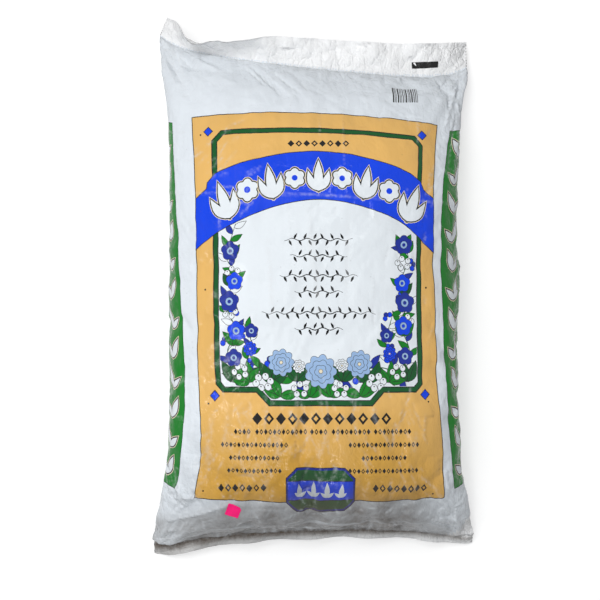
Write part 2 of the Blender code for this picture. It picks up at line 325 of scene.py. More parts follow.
    def build(self) -> Pair:
        """The rows of points of the front and the back, with their seal rows in common."""
        v = self.row_shares()
        stations = [self.station(share) for share in v]
        u = np.tile(np.linspace(-self.pattern.half, self.pattern.half, self.columns + 1), (len(v), 1))
        t = self.pattern.foot_seal(u) + v[:, None] * (self.pattern.head_seal(u) - self.pattern.foot_seal(u))
        faces = []
        for side in (0, 1):
            across = np.array([found[side][0] for found in stations])
            height = np.array([found[side][1] for found in stations])
            faces.append([across, self.lengthwise(across, height, t), height])
        tight = self.front_tightness
        foot, head = tight * faces[0][1][[0, -1]] + (1.0 - tight) * faces[1][1][[0, -1]]
        head = head + self.ear_reach * np.exp(-(self.pattern.half - np.abs(u[0])) / self.ear_width)
        for face, folds, outward in zip(faces, (self.front_folds, self.back_folds), (1, -1)):
            y = face[1]
            face[1] = foot + (y - y[0]) * (head - foot) / (y[-1] - y[0])
            fade = np.sin(math.pi * v)[:, None] ** 0.4 * np.clip(face[2] / self.fold_free_height, 0.0, 1.0)
            face[2] = np.maximum(face[2] - outward * self.fold_depth(folds, u, t) * fade, 0.0)
        return np.stack(faces[0], axis=2), np.stack(faces[1], axis=2)


class Roughage:
    """Seeded noise over the flat film: soft swells, and flat facets that meet in sharp creases."""

    def __init__(self, seed: int, size: int = 64) -> None:
        """Draws the tables that the noise is read from.

        Args:
            seed: Makes the same noise each run.
            size: How many cells the noise has before it repeats.
        """
        drawn = np.random.default_rng(seed)
        self.size = size
        self.values = drawn.uniform(-1.0, 1.0, (size, size))
        self.middles = drawn.uniform(0.1, 0.9, (size, size, 2))
        self.tilts = drawn.normal(0.0, 0.55, (size, size, 2))
        self.heights = drawn.uniform(-0.35, 0.35, (size, size))

    def swells(self, x: Array, y: Array) -> Array:
        """Smooth noise from about -1 to 1, one swell to a unit."""
        column, row = np.floor(x).astype(int), np.floor(y).astype(int)
        a, b = x - column, y - row
        a, b = a * a * (3 - 2 * a), b * b * (3 - 2 * b)
        size = self.size
        corners = [self.values[(row + j) % size, (column + i) % size] for j in (0, 1) for i in (0, 1)]
        low = corners[0] * (1 - a) + corners[1] * a
        high = corners[2] * (1 - a) + corners[3] * a
        return low * (1 - b) + high * b

    def facets(self, x: Array, y: Array) -> Array:
        """Crumpled facets from about -1 to 1, one facet to a unit."""
        column, row = np.floor(x).astype(int), np.floor(y).astype(int)
        highest = np.full(x.shape, -9.0)
        for j in (-1, 0, 1):
            for i in (-1, 0, 1):
                place = (row + j) % self.size, (column + i) % self.size
                a = x - column - i - self.middles[place][..., 0]
                b = y - row - j - self.middles[place][..., 1]
                tilt = self.tilts[place]
                plane = self.heights[place] + tilt[..., 0] * a + tilt[..., 1] * b - 0.8 * (a * a + b * b)
                highest = np.maximum(highest, plane)
        return 2.0 * highest


@dataclass
class FilmRelaxer:
    """Lets Blender's cloth ease the lofted film until it holds its volume, which leaves soft wrinkles."""

    pattern: FlatPattern
    frames: int = 20
    volume: float = 0.0236
    slack: float = 0.022
    hold: float = 0.1
    lumps: float = 0.0011
    most_move: float = 0.014
    smoothings: int = 36
    seal_share: float = 0.035
    # How much of the wrinkles the front keeps in its middle
    calm: float = 0.35

    def welded(self, front: Array, back: Array) -> tuple[Array, Array, Array]:
        """The film's points once each, and the places in them of the front's and the back's grids."""
        rows, columns = front.shape[:2]
        at_front = np.arange(rows * columns).reshape(rows, columns)
        at_back = at_front.copy()
        inner = np.arange((rows - 2) * (columns - 2)).reshape(rows - 2, columns - 2)
        at_back[1:-1, 1:-1] = rows * columns + inner
        points = np.concatenate([front.reshape(-1, 3), back[1:-1, 1:-1].reshape(-1, 3)])
        middle = (front + back) / 2
        for edge in ((0, slice(None)), (-1, slice(None)), (slice(None), 0), (slice(None), -1)):
            points[at_front[edge]] = middle[edge]
        return points, at_front, at_back

    def lumped(self, points: Array) -> Array:
        """The start shape with small lumps, so that its wrinkles don't come out mirrored."""
        noise = Roughage(11)
        lift = noise.swells(points[:, 0] / 0.045 + 7, points[:, 1] / 0.06 + 3)
        lift += 0.6 * noise.swells(points[:, 0] / 0.019 + 31, points[:, 1] / 0.023 + 17)
        moved = points.copy()
        moved[:, 2] = np.maximum(moved[:, 2] + self.lumps * lift, 0.0)
        return moved

    def relax(self, front: Array, back: Array) -> Pair:
        """Runs the cloth and returns the relaxed front and back.

        Args:
            front: Rows of points on the front film.
            back: Rows of points on the back film.

        Returns:
            The same grids, eased by at most most_move.
        """
        points, at_front, at_back = self.welded(front, back)
        quads = []
        for grid, turned in ((at_front, False), (at_back, True)):
            cells = cells_of(grid)
            quads.extend((cells[:, ::-1] if turned else cells).tolist())
        mesh = bpy.data.meshes.new("relaxing_film")
        mesh.from_pydata(self.lumped(points).tolist(), [], quads)
        sheet = in_scene("relaxing_film", mesh)
        self.add_cloth(sheet, len(points))
        for frame in range(1, self.frames + 1):
            bpy.context.scene.frame_set(frame)
        eased = sheet.evaluated_get(bpy.context.evaluated_depsgraph_get()).to_mesh()
        found = np.empty(len(points) * 3, np.float32)
        eased.vertices.foreach_get("co", found)
        bpy.data.objects.remove(sheet)
        bpy.data.meshes.remove(mesh)
        bpy.context.scene.frame_set(1)
        move = found.reshape(-1, 3).astype(float) - points
        size = np.linalg.norm(move, axis=1, keepdims=True)
        move *= self.most_move * np.tanh(size / self.most_move) / np.maximum(size, 1e-9)
        front_move, back_move = self.wrinkles(move[at_front], move[at_back])
        rows = np.linspace(0.0, 1.0, len(at_front))[:, None, None]
        held = np.clip(np.minimum(rows, 1.0 - rows) / self.seal_share, 0.0, 1.0)
        middle = np.sin(math.pi * np.clip(rows * 1.25 - 0.25, 0.0, 1.0)) ** 0.5
        calm = self.calm + (1.0 - self.calm) * (1.0 - middle)
        return points[at_front] + front_move * held * calm, points[at_back] + back_move * held

    def wrinkles(self, front: Array, back: Array) -> Pair:
        """The moves of the front and the back without their broad swell, which would change the bag's size.

        Args:
            front: How far each point of the front moved.
            back: How far each point of the back moved.

        Returns:
            The same, less their local average.
        """
        columns = front.shape[1]
        loop = np.concatenate([front, back[:, -2:0:-1]], axis=1)
        broad = loop.copy()
        for _ in range(self.smoothings):
            round_it = (np.roll(broad, 1, axis=1) + np.roll(broad, -1, axis=1)) / 2
            padded = np.concatenate([broad[:1], broad, broad[-1:]])
            broad = 0.5 * round_it + 0.25 * (padded[:-2] + padded[2:])
        fine = loop - broad
        back_fine = np.concatenate([fine[:, :1], fine[:, :columns - 2:-1]], axis=1)
        return fine[:, :columns], back_fine

    def add_cloth(self, sheet: bpy.types.Object, count: int) -> None:
        """Gives the sheet its cloth, held softly near where it starts."""
        sheet.vertex_groups.new(name="hold").add(list(range(count)), self.hold, "REPLACE")
        cloth = sheet.modifiers.new("relax", "CLOTH")
        for name, value in {
            "quality": 5, "mass": 0.3, "tension_stiffness": 15, "compression_stiffness": 15,
            "shear_stiffness": 5, "bending_stiffness": 0.03, "tension_damping": 5, "compression_damping": 5,
            "shear_damping": 5, "air_damping": 1, "use_pressure": True, "uniform_pressure_force": 1,
            "use_pressure_volume": True, "target_volume": self.volume, "vertex_group_mass": "hold",
            "pin_stiffness": 0.5, "shrink_min": -self.slack, "shrink_max": -self.slack,
        }.items():
            setattr(cloth.settings, name, value)
        cloth.settings.effector_weights.gravity = 0
        cloth.collision_settings.use_collision = False
        cloth.point_cache.frame_start = 1
        cloth.point_cache.frame_end = self.frames


@dataclass(frozen=True)
class Crease:
    """One sharp fold: where it starts and ends in s and q, its height, half-width and how it dies away."""

    start: tuple[float, float]
    end: tuple[float, float]
    height: float
    half_width: float
    from_seal: bool = False


@dataclass
class CreaseField:
    """The film's fine relief: measured creases, pleats from the seals, corner fans and crumpled facets."""

    pattern: FlatPattern
    seed: int = 5
    foot_bulge: float = 0.0026
    head_bulge: float = 0.0016
    # Groups of fine creases: u, q (below 0 on the back), spread across and along, how many, degrees
    groups: Table = (
        (-0.13, 0.13, 0.028, 0.04, 42, 40), (-0.06, 0.16, 0.04, 0.045, 46, 12),
        (0.03, 0.175, 0.045, 0.04, 40, -8), (0.115, 0.14, 0.035, 0.045, 34, -25),
        (0.0, 0.095, 0.05, 0.02, 30, 0), (-0.128, 0.535, 0.014, 0.018, 16, 60),
        (-0.125, 0.47, 0.018, 0.02, 18, 50), (0.14, 0.5, 0.02, 0.06, 14, 10),
        (0.02, 0.33, 0.09, 0.1, 26, 0), (-0.02, 0.62, 0.11, 0.022, 22, 25),
        (0.0, -0.3, 0.12, 0.18, 60, 0), (0.205, 0.6, 0.012, 0.06, 34, 14),
        (0.208, 0.4, 0.01, 0.12, 34, 8), (-0.1, 0.694, 0.07, 0.007, 34, 35),
        (-0.185, 0.1, 0.02, 0.016, 26, -50), (0.185, 0.075, 0.022, 0.024, 26, -42),
        (0.0, 0.06, 0.15, 0.016, 22, 70),
    )
    # Single creases, each from u, t to u, t in film millimetres, then height and half-width in millimetres
    single: Table = (
        (-104, 689, -63, 641, -1.9, 2.6), (-98, 689, -52, 632, 1.4, 2.4), (-91, 688, -43, 625, -2.2, 3.0),
        (-80, 686, -30, 626, 1.4, 2.6), (-67, 683, -15, 627, -2.0, 2.6), (189, 636, 190, 598, -3.0, 2.0),
        (158, 120, 216, 30, 3.4, 4.6), (151, 69, 205, 43, -2.4, 3.2), (-214, 57, -98, 99, 3.0, 3.8),
        (-206, 108, -168, 84, -2.4, 2.6), (-196, 122, -160, 92, 2.6, 2.4), (-182, 128, -176, 84, 2.4, 2.4),
        (-165, 118, -146, 86, -2.4, 2.6), (-201, 96, -150, 104, 2.2, 2.4), (-60, 44, 40, 38, 1.8, 2.6),
        (-212, 84, -186, 112, 2.2, 2.4), (-192, 76, -172, 100, -2.0, 2.4), (-30, 60, 70, 56, -1.3, 2.4),
        (205, 650, 178, 570, 2.6, 2.8), (214, 665, 196, 600, -2.6, 2.6), (204, 610, 186, 520, -2.4, 2.6),
        (196, 640, 212, 590, 2.2, 2.4), (208, 580, 194, 500, 2.0, 2.4), (170, 668, 200, 620, -1.8, 2.6),
        (-216, 690, -190, 640, 2.4, 3.0), (-208, 702, -160, 668, -2.2, 2.6), (-190, 704, -120, 664, 1.6, 2.6),
        (39, 598, 40, 520, 0.8, 1.3), (7, 598, 8, 562, 0.7, 1.2), (-34, 470, -28, 400, 0.5, 1.4),
        (-132, 213, -142, 135, 0.5, 9.0), (-52, 199, -43, 149, 0.45, 9.0), (18, 195, 4, 154, 0.5, 8.0),
        (132, 190, 128, 158, 0.4, 8.0), (-108, 216, -120, 160, 0.4, 7.0), (-8, 470, 8, 320, 0.9, 9.0),
        (46, 465, 40, 330, -0.7, 8.0), (-60, 440, -52, 300, 0.7, 8.0),
    )
    # How far up from the foot seal painted shade greys the film at places u, and how much
    shade_places: tuple[float, ...] = (-0.222, -0.2, -0.15, -0.112, 0.0, 0.12, 0.15, 0.19, 0.222)
    shade_ends: tuple[float, ...] = (0.04, 0.049, 0.067, 0.08, 0.09, 0.085, 0.072, 0.036, 0.015)
    shade_depths: tuple[float, ...] = (0.54, 0.6, 0.66, 0.66, 0.68, 0.7, 0.46, 0.3, 0.1)
    creases: list[Crease] = field(default_factory=list)

    def __post_init__(self) -> None:
        """Draws every family of creases in order, so that each run gives the same ones."""
        drawn = np.random.default_rng(self.seed)
        for u_a, t_a, u_b, t_b, height, half_width in self.single:
            u, t = np.array([u_a, u_b]) * MM, np.array([t_a, t_b]) * MM
            ends = list(zip(u.tolist(), self.pattern.straightened(u, t).tolist()))
            self.creases.append(Crease(ends[0], ends[1], height * MM, half_width * MM))
        self.seal_pleats(drawn)
        self.corner_fans(drawn)
        self.side_wrinkles(drawn)
        self.body_scratches(drawn)
        self.crumple = Roughage(23)
        self.fine = Roughage(29)

    def on_tube(self, u: float, side: Side) -> float:
        """The place s of a place u across the given side."""
        return u if side is Side.FRONT else math.copysign(self.pattern.width - abs(u), u)

    def add(self, start: Array, angle: float, length: float, height: float, half_width: float,
            side: Side, from_seal: bool) -> None:
        """Adds one crease that starts at u, q and runs at an angle from the lengthwise direction."""
        end = start + length * np.array([math.sin(angle), math.cos(angle)])
        half = self.pattern.half - 0.002
        ends = [(self.on_tube(float(np.clip(p[0], -half, half)), side), float(p[1])) for p in (start, end)]
        self.creases.append(Crease(ends[0], ends[1], height, half_width, from_seal))

    def seal_pleats(self, drawn: np.random.Generator) -> None:
        """Short pleats that run in from both seals, where the film is gathered."""
        for side, count in ((Side.FRONT, 46), (Side.BACK, 26)):
            for row, inward in ((self.pattern.foot_row, 1), (self.pattern.head_row, -1)):
                for _ in range(count):
                    u = drawn.uniform(-0.97, 0.97) * self.pattern.half
                    angle = drawn.normal(0.0, 0.3) - 0.5 * u / self.pattern.half * inward
                    length = drawn.uniform(0.014, 0.05) * (1.4 if inward < 0 else 1.0)
                    height = drawn.choice([-1, 1]) * drawn.uniform(0.0004, 0.0013)
                    start = np.array([u, row])
                    self.add(start, angle, inward * length, height, drawn.uniform(0.0022, 0.0045), side, True)

    def corner_fans(self, drawn: np.random.Generator) -> None:
        """Long creases that fan out from each of the four corners."""
        for side, count in ((Side.FRONT, 17), (Side.BACK, 10)):
            for row, inward in ((self.pattern.foot_row, 1), (self.pattern.head_row, -1)):
                for hand in (-1, 1):
                    for _ in range(count):
                        off = drawn.uniform(0.0, 0.03)
                        inset = inward * drawn.uniform(0.0, 0.02)
                        start = np.array([hand * (self.pattern.half - off), row + inset])
                        angle = -hand * inward * drawn.uniform(0.15, 1.25)
                        length = inward * drawn.uniform(0.03, 0.105)
                        height = drawn.choice([-1, 1]) * drawn.uniform(0.0006, 0.0017)
                        self.add(start, angle, length, height, drawn.uniform(0.003, 0.0065), side, True)

    def side_wrinkles(self, drawn: np.random.Generator) -> None:
        """Short wrinkles across the rounded sides."""
        for _ in range(90):
            s = drawn.choice([-1, 1]) * drawn.uniform(0.172, 0.27)
            q = drawn.uniform(0.05, 0.65)
            angle = drawn.normal(math.pi / 2, 0.4)
            length = drawn.uniform(0.012, 0.038)
            reach = length * np.array([math.sin(angle), math.cos(angle)])
            height = drawn.choice([-1, 1]) * drawn.uniform(0.0003, 0.0008)
            width = drawn.uniform(0.0022, 0.0042)
            end = (s + float(reach[0]), q + float(reach[1]))
            self.creases.append(Crease((s, q), end, 1.4 * height, width))

    def body_scratches(self, drawn: np.random.Generator) -> None:
        """Fine creases in loose groups: low on the panel, by its corners, on the ribbon and over the back."""
        for u, q, wide, high, count, degrees in self.groups:
            side = Side.BACK if q < 0 else Side.FRONT
            for _ in range(count):
                start = np.array([drawn.normal(u, wide), max(0.03, drawn.normal(abs(q), high))])
                angle = math.radians(drawn.normal(degrees, 24.0))
                height = drawn.choice([-1, 1]) * drawn.uniform(0.0003, 0.00095)
                length = drawn.uniform(0.008, 0.036)
                self.add(start, angle, length, height, drawn.uniform(0.0018, 0.0032), side, False)

    def strain(self, s: Array, q: Array) -> Array:
        """How crumpled the film is at s, q: 1 at the corners and the seals, least in the middle."""
        u = self.pattern.across(s)
        foot = np.abs(q - self.pattern.foot_row)
        head = np.abs(self.pattern.head_row - q)
        side = self.pattern.half - np.abs(u)
        seal = np.maximum(np.exp(-foot / 0.05), np.exp(-head / 0.04))
        corner = np.maximum(np.exp(-np.hypot(foot, side) / 0.085), np.exp(-np.hypot(head, side) / 0.08))
        sides = np.where(u > 0, 0.85, 0.5) * np.exp(-side / 0.042)
        crumpled = np.exp(-(((u + 0.178) / 0.036) ** 2) - ((q - 0.098) / 0.02) ** 2)
        low = 0.42 * np.exp(-(((q - 0.1) / 0.1) ** 2))
        return np.clip(np.maximum.reduce([seal * 0.75, corner, sides, crumpled, low]), 0.0, 1.0)

    def dust_and_shade(self, s: Array, q: Array) -> Array:
        """How much the film is greyed at s, q, by peat dust and by painted shade.

        It is most in the crease of the foot seal, a painted shadow with dust caught in it, and the whole
        slope to the foot is darkened by painted shade, as are the head slope and the right side.
        """
        u = self.pattern.across(s)
        left, right = u + self.pattern.half, self.pattern.half - u
        foot, head = q - self.pattern.foot_row, self.pattern.head_row - q
        # On the foot fin: peat dust toward the left corner, and painted shadow of the bulging film next to
        # the seal
        fin = 0.06 + 0.46 * np.exp(-((left / 0.15) ** 2)) + 0.25 * np.exp(foot / 0.004)
        # A dark line in the foot seal's crease: painted shadow under the bulging film, with dust caught there
        crease = 1.7 * np.exp(-(((foot + 0.0028) / 0.0038) ** 2))
        crease = crease * np.interp(u, (-0.222, 0.0, 0.222), (1.0, 0.9, 0.4))
        # Painted shade over the slope to the foot, up to shade_end from the seal
        shade_end = np.interp(u, self.shade_places, self.shade_ends)
        shade = np.interp(u, self.shade_places, self.shade_depths)
        soft = 0.0035 + 0.03 * np.clip(left, 0.0, 0.2) + 0.008 * np.exp(-right / 0.05)
        # Broad painted shade low on the front, most to the right
        broad_foot_shade = 0.14 * np.exp(-((foot / 0.15) ** 2)) * np.interp(u, (-0.16, 0.1), (0.1, 1.0))
        slope = shade / (1.0 + np.exp((foot - shade_end) / soft)) + broad_foot_shade
        streak = 1.0 + 0.14 * self.fine.swells(s / 0.019 + 12, q / 0.085 + 7)
        # Painted shade on the head slope, in a band under the head seal and down the right side
        head_and_right_shade = 0.13 * np.exp(-((head / 0.08) ** 2)) + 0.24 * np.exp(-((head / 0.014) ** 2))
        head_and_right_shade = np.maximum(head_and_right_shade, 0.22 * np.exp(-right / 0.03) * np.clip((q - 0.1) / 0.3, 0.0, 1.0))
        slope = np.maximum(slope * streak * (np.abs(s) < self.pattern.half + 0.02), head_and_right_shade)
        # Painted shade on the head fin next to the seal, at the left
        head_fin_shade = 0.01 + 0.06 * np.exp(head / 0.012) * np.exp(-left / 0.12)
        above_foot = np.where(head < 0, head_fin_shade, np.maximum(slope, crease))
        found = np.where(foot < 0, np.maximum(fin, crease), above_foot)
        uneven = 0.94 + 0.12 * self.fine.swells(s / 0.017 + 12, q / 0.006 + 7)
        return np.clip(found * uneven, 0.0, 1.0)

    def pressed_and_shaded(self, s: Array, q: Array) -> Array:
        """How much painted shade deepens the print low on the front at s, q, where the film also lies close
        on dark peat.
        """
        u = self.pattern.across(s)
        low = np.clip((0.215 - q) / 0.1, 0.0, 1.0) * np.exp(-((u / 0.16) ** 4))
        uneven = 0.8 + 0.45 * self.fine.swells(s / 0.036 + 70, q / 0.1 + 31)
        return np.clip(low * uneven, 0.0, 1.0) * (np.abs(s) < self.pattern.half)

    def folded(self, s: Array, q: Array) -> Pair:
        """How far the creases lift the film at s, q, and how much their ridges are painted white, as rub wear
        and painted highlight.
        """
        lift, rub_and_highlight = np.zeros_like(s), np.zeros_like(s)
        for crease in self.creases:
            a, b = np.array(crease.start), np.array(crease.end)
            reach = 3.0 * crease.half_width
            low, high = np.minimum(a, b) - reach, np.maximum(a, b) + reach
            near = np.flatnonzero((s > low[0]) & (s < high[0]) & (q > low[1]) & (q < high[1]))
            if not len(near):
                continue
            line = b - a
            share = ((s[near] - a[0]) * line[0] + (q[near] - a[1]) * line[1]) / line.dot(line)
            held = np.clip(share, 0.0, 1.0)
            away = np.hypot(s[near] - a[0] - held * line[0], q[near] - a[1] - held * line[1])
            fade = (1.0 - held) if crease.from_seal else np.sin(math.pi * held) ** 0.7
            lift[near] += crease.height * fade * np.exp(-((away / crease.half_width) ** 1.4))
            # Ridge lines that are painted light: rub wear, and painted highlight where crisp creases catch
            # the light
            ridge = np.exp(-((away / (0.45 * crease.half_width)) ** 2))
            sharp = min(1.0, abs(crease.height) / 0.001) * fade * ridge
            rub_and_highlight[near] = np.maximum(rub_and_highlight[near], sharp)
        return lift, rub_and_highlight

    def relief(self, s: Array, q: Array) -> Array:
        """How far the fine relief lifts the film at s, q."""
        lift = self.folded(s, q)[0]
        strain = self.strain(s, q)
        wide = self.crumple.facets(s / 0.024 + 40, q / 0.03 + 9)
        small = self.fine.facets(s / 0.0105 + 80, q / 0.0125 + 50)
        lift += (0.0001 + 0.0015 * strain) * wide
        lift += (0.00014 + 0.0009 * strain) * small
        foot, head = q - self.pattern.foot_row, self.pattern.head_row - q
        uneven = 1.0 + 0.5 * self.crumple.swells(s / 0.021 + 3, q / 0.03 + 44)
        front = np.abs(s) < self.pattern.half
        lift += np.where(front, self.foot_bulge, 0.0) * uneven * np.exp(-(((foot - 0.0065) / 0.0045) ** 2))
        lift += np.where(front, self.head_bulge, 0.0) * uneven * np.exp(-(((head - 0.006) / 0.004) ** 2))
        return lift * np.clip(np.minimum(foot, head) / 0.003, 0.0, 1.0)


@dataclass
class FilmSurface:
    """Where each place s, q of the film lies in the room."""

    pattern: FlatPattern
    front: Array
    back: Array
    row_shares: Array
    creases: CreaseField
    layer: float = 0.00035
    foot_angle: float = -24.0
    head_angle: float = 12.0
    curl_angle: float = 84.0
    curl_from_left: float = 0.044
    curl_left_width: float = 0.021
    curl_right_width: float = 0.115
    corner_lean: float = 0.011
    corner_lean_width: float = 0.03
    corner_loss: float = 0.27
    corner_loss_width: float = 0.02
    left_foot_draw: float = 0.009
    left_foot_draw_width: float = 0.05
    ripple: float = 0.003
    ripple_length: float = 0.085

    def __post_init__(self) -> None:
        """Joins the front and the back into one loop of columns round the tube."""
        columns = self.front.shape[1] - 1
        s = (np.arange(2 * columns) - columns) * self.pattern.width / columns
        share = (self.pattern.across(s) + self.pattern.half) / self.pattern.width
        column = np.rint(share * columns).astype(int)
        on_front = np.abs(s) <= self.pattern.half + 1e-9
        self.loop = np.where(on_front[None, :, None], self.front[:, column], self.back[:, column])
        self.loop_columns = 2 * columns
        self.crumple = Roughage(41)
        self.fine = Roughage(43)

    def grid(self, s: Array, q: Array) -> Array:
        """The smooth film between its seals, read from the loop of columns by cubic interpolation."""
        v = np.clip((q - self.pattern.foot_row) / self.pattern.body, 0.0, 1.0)
        row = np.interp(v, self.row_shares, np.arange(len(self.row_shares)))
        column = (s / self.pattern.width + 1.0) * self.loop_columns / 2
        low_row = np.minimum(np.floor(row).astype(int), len(self.row_shares) - 2)
        low_column = np.floor(column).astype(int)
        found = np.zeros((len(s), 3))
        row_weights, column_weights = self.cubic(row - low_row), self.cubic(column - low_column)
        for j, row_weight in enumerate(row_weights):
            at_row = np.clip(low_row + j - 1, 0, len(self.row_shares) - 1)
            for i, column_weight in enumerate(column_weights):
                at_column = (low_column + i - 1) % self.loop_columns
                found += (row_weight * column_weight)[:, None] * self.loop[at_row, at_column]
        return found

    @staticmethod
    def cubic(share: Array) -> tuple[Array, Array, Array, Array]:
        """The four Catmull-Rom weights of a share from 0 to 1."""
        x, x2, x3 = share, share**2, share**3
        return (
            -0.5 * x + x2 - 0.5 * x3, 1 - 2.5 * x2 + 1.5 * x3,
            0.5 * x + 2 * x2 - 1.5 * x3, -0.5 * x2 + 0.5 * x3,
        )

    def fin_turn(self, u: Array, share: Array, at_head: bool) -> Array:
        """How steeply a fin rises at u, in radians, growing with the share of the way out."""
        if not at_head:
            return np.radians(np.full_like(u, self.foot_angle) * (0.55 + 0.45 * share))
        away = u + self.pattern.half - self.curl_from_left
        curl = np.exp(-((away / np.where(away < 0, self.curl_left_width, self.curl_right_width)) ** 2))
        angle = self.head_angle + (self.curl_angle - self.head_angle) * curl
        return np.radians(angle * (0.55 + 0.45 * share))

    def foot_draw(self, u: Array, away: Array | float) -> Array:
        """How far the foot's left corner is drawn in at u, at a distance from the seal."""
        near = np.exp(-(u + self.pattern.half) / self.left_foot_draw_width)
        return self.left_foot_draw * near * np.exp(-np.asarray(away) / 0.06)

    def fin(self, s: Array, q: Array, at_head: bool) -> Array:
        """Places on a loose fin: its layers ride a hair apart on one crumpled sheet."""
        pattern = self.pattern
        u = pattern.across(s)
        seal_row = pattern.head_row if at_head else pattern.foot_row
        length, outward = (pattern.head_fin, 1) if at_head else (pattern.foot_fin, -1)
        share = np.abs(q - seal_row) / length
        drawn = self.foot_draw(u, 0.0)
        extra = -pattern.head_cut_slant * (0.5 - u / pattern.width) if at_head else 0.0025 + 1.25 * drawn
        corner = np.exp(-(pattern.half - np.abs(u)) / self.corner_loss_width)
        reach = share * (length + extra) * (1.0 - self.corner_loss * corner)
        turn = self.fin_turn(u, share, at_head)
        place = self.grid(s, np.full_like(s, seal_row))
        lean = self.corner_lean * np.exp(-(u + pattern.half) / self.corner_lean_width) if at_head else 0.0
        place[:, 0] += lean * share
        place[:, 1] += outward * reach * np.cos(turn) + (0.0 if at_head else drawn)
        place[:, 2] += reach * np.sin(turn)
        normal = np.stack([np.zeros_like(u), -outward * np.sin(turn), np.cos(turn)], axis=1)
        wave = self.ripple * share * np.sin(2 * math.pi * u / self.ripple_length + 2.0 * share)
        wave += self.crumpled(u, q, share, at_head)
        gap = self.layer * np.where(np.abs(s) <= pattern.half, 1.0, -1.0)
        gap = gap * np.clip((pattern.half - np.abs(u)) / 0.003, 0.0, 1.0)
        place += normal * (wave + gap)[:, None]
        place[:, 2] = np.maximum(place[:, 2], 0.0006 + gap)
        return place

    def crumpled(self, u: Array, q: Array, share: Array, at_head: bool) -> Array:
        """How far a fin's crumples push it off its smooth sheet."""
        side = self.pattern.half - np.abs(u)
        corner = np.exp(-side / 0.045)
        wide = self.crumple.facets(u / 0.026 + (5 if at_head else 33), q / 0.034 + 11)
        small = self.fine.facets(u / 0.011 + 61, q / 0.014 + 23)
        deep = 0.002 + 0.005 * corner
        size = 1.0 if at_head else 0.45
        return size * np.minimum(share * 2.2, 1.0) * (deep * wide + 0.0016 * small)

    def smooth_normal(self, s: Array, q: Array) -> Array:
        """The outward normal of the smooth film between its seals."""
        step = 0.0015
        round_it = self.grid(s + step, q) - self.grid(s - step, q)
        low = np.clip(q - step, self.pattern.foot_row, self.pattern.head_row)
        high = np.clip(q + step, self.pattern.foot_row, self.pattern.head_row)
        return unit(np.cross(round_it, self.grid(s, high) - self.grid(s, low)))

    def place(self, s: Array, q: Array) -> Array:
        """Where places s, q of the film lie, with every crease."""
        pattern = self.pattern
        s = np.where(s > pattern.width, s - 2 * pattern.width, s)
        s = np.where(s < -pattern.width, s + 2 * pattern.width, s)
        found = np.zeros((len(s), 3))
        at_foot, at_head = q < pattern.foot_row, q > pattern.head_row
        body = ~at_foot & ~at_head
        if body.any():
            bs, bq = s[body], q[body]
            point = self.grid(bs, bq)
            normal = self.smooth_normal(bs, bq)
            point = point + normal * self.creases.relief(bs, bq)[:, None]
            point[:, 1] += self.foot_draw(pattern.across(bs), bq - pattern.foot_row)
            away = np.minimum(bq - pattern.foot_row, pattern.head_row - bq)
            hand = np.where(np.abs(bs) <= pattern.half, 1.0, -1.0)
            side = np.clip((pattern.half - np.abs(pattern.across(bs))) / 0.003, 0.0, 1.0)
            point[:, 2] += self.layer * hand * side * np.exp(-away / 0.004)
            found[body] = point
        for mask, head in ((at_foot, False), (at_head, True)):
            if mask.any():
                found[mask] = self.fin(s[mask], q[mask], head)
        found[:, 2] = np.maximum(found[:, 2], 0.0)
        return found

    def normal(self, s: Array, q: Array) -> Array:
        """The outward normal of the creased film."""
        step = 0.0009
        low, high = np.maximum(q - step, 0.0), np.minimum(q + step, self.pattern.end_row)
        round_it = self.place(s + step, q) - self.place(s - step, q)
        return unit(np.cross(round_it, self.place(s, high) - self.place(s, low)))


